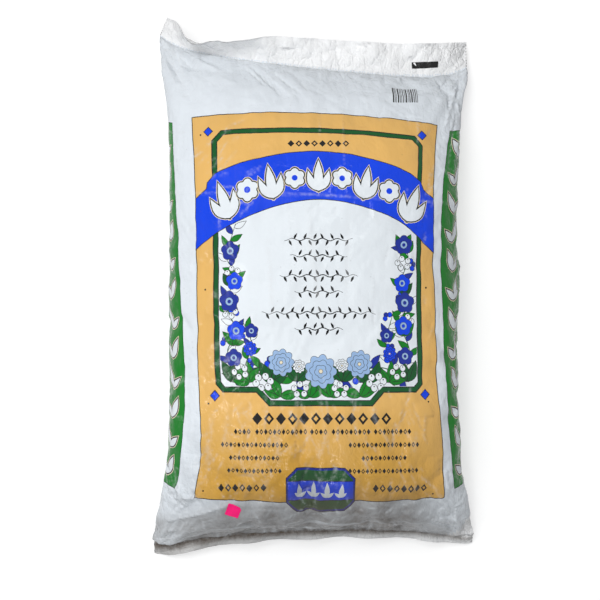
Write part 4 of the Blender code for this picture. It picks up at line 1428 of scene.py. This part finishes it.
class FilmEffects:
    """The node groups that every finish on the film shares, and how strongly each is placed."""

    # Pale colour painted on rubbed ridges and hazed patches, partly as highlight
    rub_and_highlight_white: Point = (0.86, 0.87, 0.88)
    # Brown of peat dust, and of the painted shade that the same mask lays on the film
    dust_and_shade_brown: Point = (0.37, 0.33, 0.29)
    ridge_rub_and_highlight: float = 0.55
    dust_and_shade_amount: float = 0.95
    haze_roughness: float = 0.35
    bump_strength: float = 0.8
    bump_height: float = 0.0011
    specular_level: float = 0.25

    def __init__(self) -> None:
        """Builds each group once."""
        self.crinkle = self.build_crinkle()
        self.haze_and_highlight = self.build_haze_and_highlight()
        self.tone = self.build_tone()
        self.dust_and_shade_mask = self.build_dust_and_shade()

    @staticmethod
    def start(name: str, inputs: dict[str, object], output: str) -> tuple[Wiring, Sockets, Socket]:
        """Starts a node group with named sockets.

        Args:
            name: The group's name.
            inputs: For each input, its default value: a number or a colour.
            output: The name of what it puts out, a colour if it is called one.

        Returns:
            The group's wiring, its inputs by name and the place on the object.
        """
        group = bpy.data.node_groups.new(name, "ShaderNodeTree")
        for label, value in inputs.items():
            kind = "NodeSocketFloat" if isinstance(value, float) else "NodeSocketColor"
            group.interface.new_socket(label, in_out="INPUT", socket_type=kind).default_value = value
        kind = "NodeSocketColor" if output == "Colour" else "NodeSocketFloat"
        group.interface.new_socket(output, in_out="OUTPUT", socket_type=kind)
        wiring = Wiring(group)
        return wiring, wiring.add("NodeGroupInput").outputs, wiring.place()

    def build_crinkle(self) -> bpy.types.NodeTree:
        """Fine crinkles: creased cells and stretched streaks, stronger where the film is strained."""
        wiring, taken, place = self.start("film_crinkle", {"Strength": 0.5}, "Height")
        bend = wiring.noise(place, 38.0).node.outputs["Color"]
        bent = wiring.add("ShaderNodeVectorMath", {0: bend, "Scale": 0.012}, operation="SCALE").outputs[0]
        moved = wiring.add("ShaderNodeVectorMath", {0: place, 1: bent}).outputs[0]
        longer = wiring.stretched(moved, 1.0, 0.55, 1.0)
        edges = []
        for vector, scale, most in ((longer, 105.0, 0.16), (moved, 260.0, 0.2)):
            inputs = {"Vector": vector, "Scale": scale}
            cells = wiring.add("ShaderNodeTexVoronoi", inputs, feature="DISTANCE_TO_EDGE")
            edges.append(wiring.maths("MINIMUM", cells.outputs["Distance"], most))
        ridges = wiring.maths("ADD", edges[0], wiring.maths("MULTIPLY", edges[1], 0.45))
        streak = wiring.noise(wiring.stretched(moved, 1.0, 0.16, 0.4), 130.0, 3.0)
        worn = wiring.maths("MULTIPLY", wiring.maths("ADD", wiring.attribute("strain"), 0.12), 5.0)
        height = wiring.maths("ADD", wiring.maths("MULTIPLY", ridges, worn), streak)
        wiring.add("NodeGroupOutput", {"Height": wiring.maths("MULTIPLY", height, taken["Strength"])})
        return wiring.tree

    def build_haze_and_highlight(self) -> bpy.types.NodeTree:
        """Where the film is hazed and highlights are painted: soft patches and thin lines from rubbing,
        stronger where the film is crumpled, and crease ridges painted white as rub wear and highlight.
        """
        wiring, taken, place = self.start("film_haze_and_highlight", {"Amount": 0.2, "Rub and highlight": 0.3}, "Mask")
        soft = wiring.ranged(wiring.noise(place, 14.0, 5.0), 0.5, 0.72, 0.0, 1.0)
        lines = wiring.noise(wiring.stretched(place, 1.0, 0.1, 1.0), 90.0)
        both = wiring.maths("MAXIMUM", soft, wiring.ranged(lines, 0.66, 0.76, 0.0, 1.0))
        # More haze where the film is crumpled, which also stands in for painted highlights on crinkles
        more = wiring.maths("MULTIPLY", both, wiring.maths("ADD", wiring.attribute("strain"), 0.35))
        kept = wiring.ranged(wiring.noise(place, 210.0, 3.0), 0.38, 0.62, 0.2, 1.0)
        ridges = wiring.maths("MULTIPLY", wiring.attribute("rub_and_highlight"), kept)
        ridges = wiring.maths("MULTIPLY", ridges, taken["Rub and highlight"])
        hazed_and_highlit = wiring.maths("MULTIPLY", more, taken["Amount"])
        wiring.add("NodeGroupOutput", {"Mask": wiring.maths("ADD", hazed_and_highlit, ridges, clamp=True)})
        return wiring.tree

    def build_dust_and_shade(self) -> bpy.types.NodeTree:
        """Where peat dust clings and painted shade greys the film, less on crease ridges, which stay light as
        rub wear and painted highlight, and in dust specks.
        """
        wiring, taken, place = self.start("peat_dust_and_shade", {"Amount": 0.5}, "Mask")
        uneven = wiring.ranged(wiring.noise(place, 160.0, 4.0), 0.3, 0.7, 0.86, 1.1)
        specks = wiring.add("ShaderNodeTexVoronoi", {"Vector": place, "Scale": 70.0, "Randomness": 1.0})
        speck = wiring.ranged(specks.outputs["Distance"], 0.05, 0.09, 0.14, 0.0)
        # Crease ridges are kept clear of dust and painted shade, which paints them light as highlights
        wiped_and_lit_ridges = wiring.maths("SUBTRACT", 1.0, wiring.maths("MULTIPLY", wiring.attribute("rub_and_highlight"), 0.8))
        dust_and_shade = wiring.maths("MULTIPLY", wiring.attribute("dust_and_shade"), uneven)
        total = wiring.maths("MAXIMUM", wiring.maths("MULTIPLY", dust_and_shade, wiped_and_lit_ridges), speck)
        wiring.add("NodeGroupOutput", {"Mask": wiring.maths("MULTIPLY", total, taken["Amount"], clamp=True)})
        return wiring.tree

    def build_tone(self) -> bpy.types.NodeTree:
        """An ink's uneven tone: slow clouds, faint bands, and deeper and richer with painted shade low on the
        front, where the film also lies on peat.
        """
        inputs = {"Colour": (0.5, 0.5, 0.5, 1.0), "Spread": 0.05}
        wiring, taken, place = self.start("ink_tone", inputs, "Colour")
        band = wiring.noise(wiring.stretched(place, 1.0, 0.05, 0.3), 60.0)
        uneven = wiring.maths("SUBTRACT", wiring.maths("ADD", wiring.noise(place, 9.0, 4.0), band), 1.0)
        value = wiring.maths("ADD", wiring.maths("MULTIPLY", uneven, taken["Spread"]), 1.0)
        # Painted shade low on the front: the print up to 34 % darker and richer
        pressed_and_shaded = wiring.attribute("pressed_and_shaded")
        deeper = wiring.maths("SUBTRACT", 1.0, wiring.maths("MULTIPLY", pressed_and_shaded, 0.34))
        richer = wiring.maths("ADD", wiring.maths("MULTIPLY", pressed_and_shaded, 0.18), 1.0)
        value = wiring.maths("MULTIPLY", value, deeper)
        colours = {"Color": taken["Colour"], "Saturation": richer, "Value": value}
        toned = wiring.add("ShaderNodeHueSaturation", colours)
        wiring.add("NodeGroupOutput", {"Colour": toned.outputs["Color"]})
        return wiring.tree

    def ink_material(self, finish: InkFinish) -> bpy.types.Material:
        """The material of one ink on the film.

        Args:
            finish: Its colour, gloss and unrest.

        Returns:
            A glossy material with crinkles, haze with painted ridge highlights, dust with painted shade, and
            uneven tone deepened by painted shade low on the front.
        """
        made, shader, wiring = new_material(finish.name)
        tone = wiring.group(self.tone, {"Colour": linear(finish.colour), "Spread": finish.spread})
        haze_and_highlight = wiring.group(self.haze_and_highlight, {"Amount": finish.haze_and_highlight, "Rub and highlight": self.ridge_rub_and_highlight})
        dust_and_shade_mask = wiring.group(self.dust_and_shade_mask, {"Amount": self.dust_and_shade_amount})
        height = wiring.group(self.crinkle, {"Strength": finish.crinkle})
        # Ridges and hazed patches are painted pale, partly as highlight; dust and painted shade then darken
        # toward brown
        hazed_and_highlit = wiring.mixed(haze_and_highlight, tone, self.rub_and_highlight_white)
        rough = wiring.maths("MULTIPLY", haze_and_highlight, self.haze_roughness)
        wiring.feed(shader, {
            "Base Color": wiring.mixed(dust_and_shade_mask, hazed_and_highlit, self.dust_and_shade_brown),
            "Roughness": wiring.maths("ADD", rough, finish.roughness),
            "Normal": wiring.bump(height, self.bump_strength, self.bump_height),
            "Specular IOR Level": self.specular_level,
        })
        return made


@dataclass
class PrintedFilm:
    """The printed film itself: one closed mesh whose faces each carry the ink that lies on them."""

    surface: FilmSurface
    effects: FilmEffects
    patches: list[Patch]
    fine_step: float = 0.0032
    coarse_step: float = 0.0062
    wrap: float = 0.034
    clearance: float = 0.0009
    rim_columns: int = 320
    ear_reach: float = 0.036

    @property
    def pattern(self) -> FlatPattern:
        """The flat film's sizes."""
        return self.surface.pattern

    def outlines(self) -> tuple[Array, list[list[int]]]:
        """The print's outlines as points s, q in metres and one loop of point places for each patch."""
        points, loops, count = [], [], 0
        for patch in self.patches:
            outline = PrintSheet.divided(patch.outline, 2.6) * MM
            s, t = outline[:, 0], outline[:, 1]
            points.append(np.stack([s, self.pattern.straightened(s, t)], axis=1))
            loops.append(list(range(count, count + len(outline))))
            count += len(outline)
        return np.concatenate(points), loops

    def net(self) -> Array:
        """The film's own points: staggered rows, close on the front and wider apart on the back."""
        pattern = self.pattern
        width, seals = pattern.width, (pattern.foot_row, pattern.head_row)
        found = []
        for step, inner, outer in ((self.fine_step, 0.0, pattern.half + self.wrap),
                                   (self.coarse_step, pattern.half + self.wrap, width)):
            high = step * 0.866
            for low_q, high_q in ((0.0, seals[0]), seals, (seals[1], pattern.end_row)):
                rows = max(2, round((high_q - low_q) / high))
                for row in range(rows):
                    q = low_q + (high_q - low_q) * row / rows
                    if q == 0.0:
                        continue
                    shift = 0.5 * step if row % 2 else 0.0
                    line = np.arange(-math.floor(width / step), math.floor(width / step) + 1) * step + shift
                    kept = (np.abs(line) > inner) if inner else (np.abs(line) >= 0)
                    kept &= (np.abs(line) <= outer) & (np.abs(line) < width - 0.4 * step)
                    found.append(np.stack([line[kept], np.full(kept.sum(), q)], axis=1))
                    if outer >= width:
                        found.append(np.array([(-width, q), (width, q)]))
        ends = np.linspace(-width, width, self.rim_columns + 1)
        for q in (0.0, pattern.end_row):
            found.append(np.stack([ends, np.full(len(ends), q)], axis=1))
        return np.concatenate(found)

    def cut(self) -> tuple[Array, list[tuple[int, ...]], list[Ink]]:
        """Cuts the flat film along the print's outlines.

        Returns:
            The points s, q, the triangles and the ink of each.
        """
        outline, loops = self.outlines()
        tree = KDTree(len(outline))
        for place, (s, q) in enumerate(outline):
            tree.insert((s, q, 0.0), place)
        tree.balance()
        edge = self.pattern.width - 1e-6
        net = [
            point for point in self.net()
            if abs(point[0]) > edge or tree.find((point[0], point[1], 0.0))[2] > self.clearance
        ]
        points = np.concatenate([outline, np.array(net)])
        flat, _, faces, _, _, owners = delaunay_2d_cdt(
            [Vector(point) for point in points], [], loops, 0, 1e-7, True
        )
        inks = [self.patches[max(owner)].ink if owner else Ink.BARE_FILM for owner in owners]
        return np.array([tuple(point) for point in flat]), [tuple(face) for face in faces], inks

    def rim(self, flat: Array) -> list[tuple[int, ...]]:
        """The narrow faces that close the film's two cut edges."""
        width = self.pattern.width
        half = self.rim_columns // 2
        step = width / half
        found = []
        for q, turned in ((0.0, False), (self.pattern.end_row, True)):
            on_edge = np.flatnonzero(np.abs(flat[:, 1] - q) < 1e-7)
            at = {int(round(flat[place, 0] / step)): int(place) for place in on_edge}
            at.setdefault(half, at.get(-half, 0))
            for k in range(-half // 2, half // 2):
                ends = [at[k + 1], at[k], at[self.behind(k, half)], at[self.behind(k + 1, half)]]
                face = tuple(dict.fromkeys(ends))
                found.append(face[::-1] if turned else face)
        return found

    @staticmethod
    def behind(k: int, half: int) -> int:
        """The rim column that lies behind column k once the film is laid flat."""
        return half - k if k >= 0 else -half - k

    def build(self) -> bpy.types.Object:
        """Builds the film's mesh, dresses it and names it printed_film."""
        flat, faces, inks = self.cut()
        width = self.pattern.width
        seam = {round(q * 1e6): place for place, (s, q) in enumerate(flat) if abs(s + width) < 1e-7}
        twin = {
            place: seam[round(q * 1e6)] for place, (s, q) in enumerate(flat)
            if abs(s - width) < 1e-7 and round(q * 1e6) in seam
        }
        rim = self.rim(flat)
        faces = [tuple(dict.fromkeys(twin.get(k, k) for k in face)) for face in faces + rim]
        inks = inks + [Ink.LOOSE_FILM] * len(rim)
        used = np.unique(np.concatenate([np.array(face) for face in faces]))
        places = np.full(len(flat), -1)
        places[used] = np.arange(len(used))
        s, q = flat[used, 0], flat[used, 1]
        points = self.surface.place(s, q)
        normals = self.surface.normal(s, q)
        mesh = bpy.data.meshes.new("printed_film")
        mesh.from_pydata(points.tolist(), [], [[int(places[k]) for k in face] for face in faces])
        for ink in Ink:
            mesh.materials.append(self.effects.ink_material(FINISHES[ink]))
        self.mark_loose_painted_light(flat, faces, inks)
        mesh.polygons.foreach_set("material_index", [ink.value for ink in inks])
        creases = self.surface.creases
        for name, values in {
            "strain": creases.strain(s, q), "rub_and_highlight": creases.folded(s, q)[1],
            "pressed_and_shaded": creases.pressed_and_shaded(s, q), "dust_and_shade": creases.dust_and_shade(s, q),
        }.items():
            mesh.attributes.new(name, "FLOAT", "POINT").data.foreach_set("value", values.astype(np.float32))
        mesh.shade_smooth()
        mesh.normals_split_custom_set_from_vertices(normals.tolist())
        mesh.update()
        film = in_scene("printed_film", mesh)
        LOG.info("printed film: %d points, %d faces", len(points), len(faces))
        return film

    def mark_loose_painted_light(self, flat: Array, faces: list[tuple[int, ...]], inks: list[Ink]) -> None:
        """Turns the bare faces past the seals, and of the empty right foot ear, into clearer, looser film,
        whose brighter colour is also painted light.
        """
        for place, face in enumerate(faces):
            s, q = flat[face[0]]
            loose = q < self.pattern.foot_row - 1e-6 or q > self.pattern.head_row + 1e-6
            to_right, to_foot = self.pattern.half - s, q - self.pattern.foot_row
            loose = loose or (0.0 <= to_right and to_right + 0.75 * to_foot < self.ear_reach)
            if loose and inks[place] is Ink.BARE_FILM:
                inks[place] = Ink.LOOSE_FILM


@dataclass
class PriceLabel:
    """The small pink paper label stuck on the front, low at the left."""

    surface: FilmSurface
    u: float = -0.106
    t: float = 0.0853
    width: float = 0.0185
    height: float = 0.017
    turn: float = -20.0
    corner: float = 0.003
    gap: float = 0.00035
    thickness: float = 0.00028
    steps: int = 14

    def outline_shrink(self, x: Array, y: Array) -> Pair:
        """Pulls a square's points in where one corner is torn and the others are rounded."""
        reach = np.abs(x) + np.abs(y)
        torn = (x > 0) & (y > 0)
        most = np.where(torn, 1.68, 1.9)
        scale = np.where(reach > most, most / np.maximum(reach, 1e-9), 1.0)
        return x * scale, y * scale

    def build(self, paper: bpy.types.Material) -> bpy.types.Object:
        """Builds the label as a thin closed sheet that follows the film below it.

        Args:
            paper: Its material.

        Returns:
            The label.
        """
        steps = np.linspace(-1.0, 1.0, self.steps + 1)
        x, y = self.outline_shrink(*[grid.ravel() for grid in np.meshgrid(steps, steps)])
        x, y = x * self.width / 2, y * self.height / 2
        turn = math.radians(self.turn)
        u = self.u + x * math.cos(turn) - y * math.sin(turn)
        t = self.t + x * math.sin(turn) + y * math.cos(turn)
        q = self.surface.pattern.straightened(u, t)
        film, normal = self.surface.place(u, q), self.surface.normal(u, q)
        lift = self.gap + 0.0009 * np.clip((y / self.height + x / self.width) - 0.62, 0.0, 1.0)
        under = film + normal * lift[:, None]
        over = under + normal * self.thickness
        row = self.steps + 1
        grid = np.arange(row * row).reshape(row, row)
        cells = cells_of(grid)
        ring = np.concatenate([grid[0, :-1], grid[:-1, -1], grid[-1, :0:-1], grid[:0:-1, 0]])
        sides = np.stack([ring, np.roll(ring, -1), np.roll(ring, -1) + row * row, ring + row * row], axis=1)
        faces = [*cells[:, ::-1].tolist(), *(cells + row * row).tolist(), *sides.tolist()]
        mesh = bpy.data.meshes.new("paper_label")
        mesh.from_pydata(np.concatenate([under, over]).tolist(), [], faces)
        mesh.shade_smooth()
        mesh.set_sharp_from_angle(angle=math.radians(40))
        mesh.materials.append(paper)
        label = in_scene("paper_label", mesh)
        LOG.info("paper label: %d faces", len(faces))
        return label


@dataclass(frozen=True)
class PaperFinish:
    """Fluorescent label paper with a faint fibre and a rubbed surface."""

    name: str = "label_paper"
    colour: Point = (1.0, 0.03, 0.475)
    roughness: float = 0.62

    def build(self) -> bpy.types.Material:
        """The paper's material."""
        made, shader, wiring = new_material(self.name)
        place = wiring.place()
        fibre = wiring.noise(place, 1400.0, 4.0)
        value = wiring.ranged(wiring.noise(place, 120.0, 3.0), 0.0, 1.0, 0.88, 1.12)
        toned = wiring.add("ShaderNodeHueSaturation", {"Color": linear(self.colour), "Value": value})
        wiring.feed(shader, {
            "Base Color": toned.outputs["Color"],
            "Roughness": wiring.ranged(fibre, 0.0, 1.0, self.roughness - 0.1, 0.8),
            "Normal": wiring.bump(fibre, 0.25, 0.0002),
        })
        return made


@dataclass
class Studio:
    """The plain pale floor, the soft lamps and the camera straight over the bag."""

    elevation: float = 83.5
    distance: float = 1.9
    view_width: float = 0.8
    target: Point = (-0.018, -0.031, 0.06)
    floor_tone: float = 0.52
    floor_glow: float = 0.6
    world_light: float = 0.24
    # Each lamp's name, place, what it faces, width, depth, watts and whether the film mirrors it
    lamps: tuple[tuple[str, Point, Point, float, float, float, bool], ...] = (
        ("key_softbox", (-0.75, 0.85, 2.6), (0.0, 0.0, 0.05), 1.6, 1.6, 41.0, False),
        ("foot_strip", (-0.12, -1.2, 1.5), (0.0, -0.2, 0.05), 0.3, 0.1, 3.0, True),
        ("foot_window", (-0.55, -1.0, 2.1), (0.0, -0.2, 0.05), 0.55, 0.35, 5.5, True),
        ("head_strip", (0.25, 1.05, 1.95), (0.0, 0.2, 0.05), 0.3, 0.07, 2.5, True),
        ("left_strip", (-1.1, -0.1, 1.6), (-0.1, -0.1, 0.05), 0.1, 0.4, 3.5, True),
    )

    def build(self) -> None:
        """Builds the floor, the lamps, the world and the camera."""
        bpy.context.scene.view_settings.view_transform = "Standard"
        self.floor()
        self.world()
        for lamp in self.lamps:
            self.lamp(*lamp)
        self.camera()

    def floor(self) -> None:
        """A wide pale floor that fades to white in the picture and keeps the bag's shadow."""
        mesh = bpy.data.meshes.new("studio_floor")
        reach, steps = 4.0, 8
        places = np.linspace(-reach, reach, steps + 1)
        points = [(x, y, -0.0006) for y in places for x in places]
        grid = np.arange(len(points)).reshape(steps + 1, steps + 1)
        mesh.from_pydata(points, [], cells_of(grid).tolist())
        made, shader, wiring = new_material("studio_floor")
        path = wiring.add("ShaderNodeLightPath").outputs
        seen = wiring.maths("MAXIMUM", path["Is Camera Ray"], path["Is Glossy Ray"])
        cloud = wiring.noise(wiring.place(), 3.0)
        wiring.feed(shader, {
            "Base Color": wiring.ranged(cloud, 0.0, 1.0, self.floor_tone - 0.01, self.floor_tone + 0.01),
            "Roughness": 0.9,
            "Specular IOR Level": 0.1,
            "Emission Color": (1.0, 1.0, 1.0, 1.0),
            "Emission Strength": wiring.maths("MULTIPLY", seen, self.floor_glow),
        })
        mesh.materials.append(made)
        in_scene("studio_floor", mesh)

    def world(self) -> None:
        """Even light from all round, seen as white."""
        world = bpy.data.worlds.new("studio_world")
        world.use_nodes = True
        bpy.context.scene.world = world
        wiring = Wiring(world.node_tree)
        path = wiring.add("ShaderNodeLightPath").outputs
        mirrored = wiring.maths("MAXIMUM", path["Is Glossy Ray"], path["Is Transmission Ray"])
        seen = wiring.maths("MAXIMUM", path["Is Camera Ray"], mirrored)
        wiring.feed(world.node_tree.nodes["Background"], {
            "Color": (0.97, 0.985, 1.0, 1.0),
            "Strength": wiring.maths("MULTIPLY_ADD", seen, 1.0 - self.world_light, self.world_light),
        })

    @staticmethod
    def lamp(name: str, place: Point, aim: Point, width: float, depth: float, power: float,
             mirrored: bool) -> None:
        """One soft area lamp that faces a point, and may stay out of the film's mirror images."""
        data = bpy.data.lights.new(name, "AREA")
        data.shape = "RECTANGLE"
        data.size = width
        data.size_y = depth
        data.energy = power
        lamp = in_scene(name, data)
        lamp.location = place
        lamp.rotation_euler = (Vector(place) - Vector(aim)).to_track_quat("Z", "Y").to_euler()
        lamp.visible_glossy = mirrored

    def camera(self) -> None:
        """The camera that matches the picture's view."""
        data = bpy.data.cameras.new("studio_camera")
        data.sensor_width = 36.0
        data.lens = 36.0 * self.distance / self.view_width
        camera = in_scene("studio_camera", data)
        tilt = math.radians(self.elevation)
        away = Vector((0.0, -math.cos(tilt), math.sin(tilt)))
        camera.location = Vector(self.target) + away * self.distance
        camera.rotation_euler = away.to_track_quat("Z", "Y").to_euler()
        bpy.context.scene.camera = camera


def film_surface(pattern: FlatPattern) -> FilmSurface:
    """The filled film, relaxed and creased, where the CAD bag lies.

    Args:
        pattern: The flat film's sizes.

    Returns:
        The surface that every piece is laid on.
    """
    loft = FilledLoft(pattern)
    front, back = loft.build()
    creases = CreaseField(pattern)
    smooth = FilmSurface(pattern, front, back, loft.row_shares(), creases)
    s = np.tile(np.linspace(-pattern.width, pattern.width, 161), 3)
    q = np.repeat([0.0, pattern.end_row / 2, pattern.end_row], 161)
    reach = smooth.place(s, q)
    low, high = (np.array(corner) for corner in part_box("filled_bag"))
    shift = (low + high) / 2 - (reach.min(axis=0) + reach.max(axis=0)) / 2
    shift[2] = 0.0
    front, back = FilmRelaxer(pattern).relax(front, back)
    return FilmSurface(pattern, front + shift, back + shift, loft.row_shares(), creases)


def main() -> None:
    """Loads the frame, dresses the bag and sets up the studio."""
    logging.basicConfig(level=logging.INFO, format="%(name)s: %(message)s")
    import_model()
    pattern = FlatPattern()
    surface = film_surface(pattern)
    LOG.info("film relaxed")
    film = PrintedFilm(surface, FilmEffects(), PrintSheet().lay_out()).build()
    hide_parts("filled_bag")
    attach(film, "root")
    label = PriceLabel(surface).build(PaperFinish().build())
    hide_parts("price_label")
    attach(label, "root")
    Studio().build()


if __name__ == "__main__":
    main()
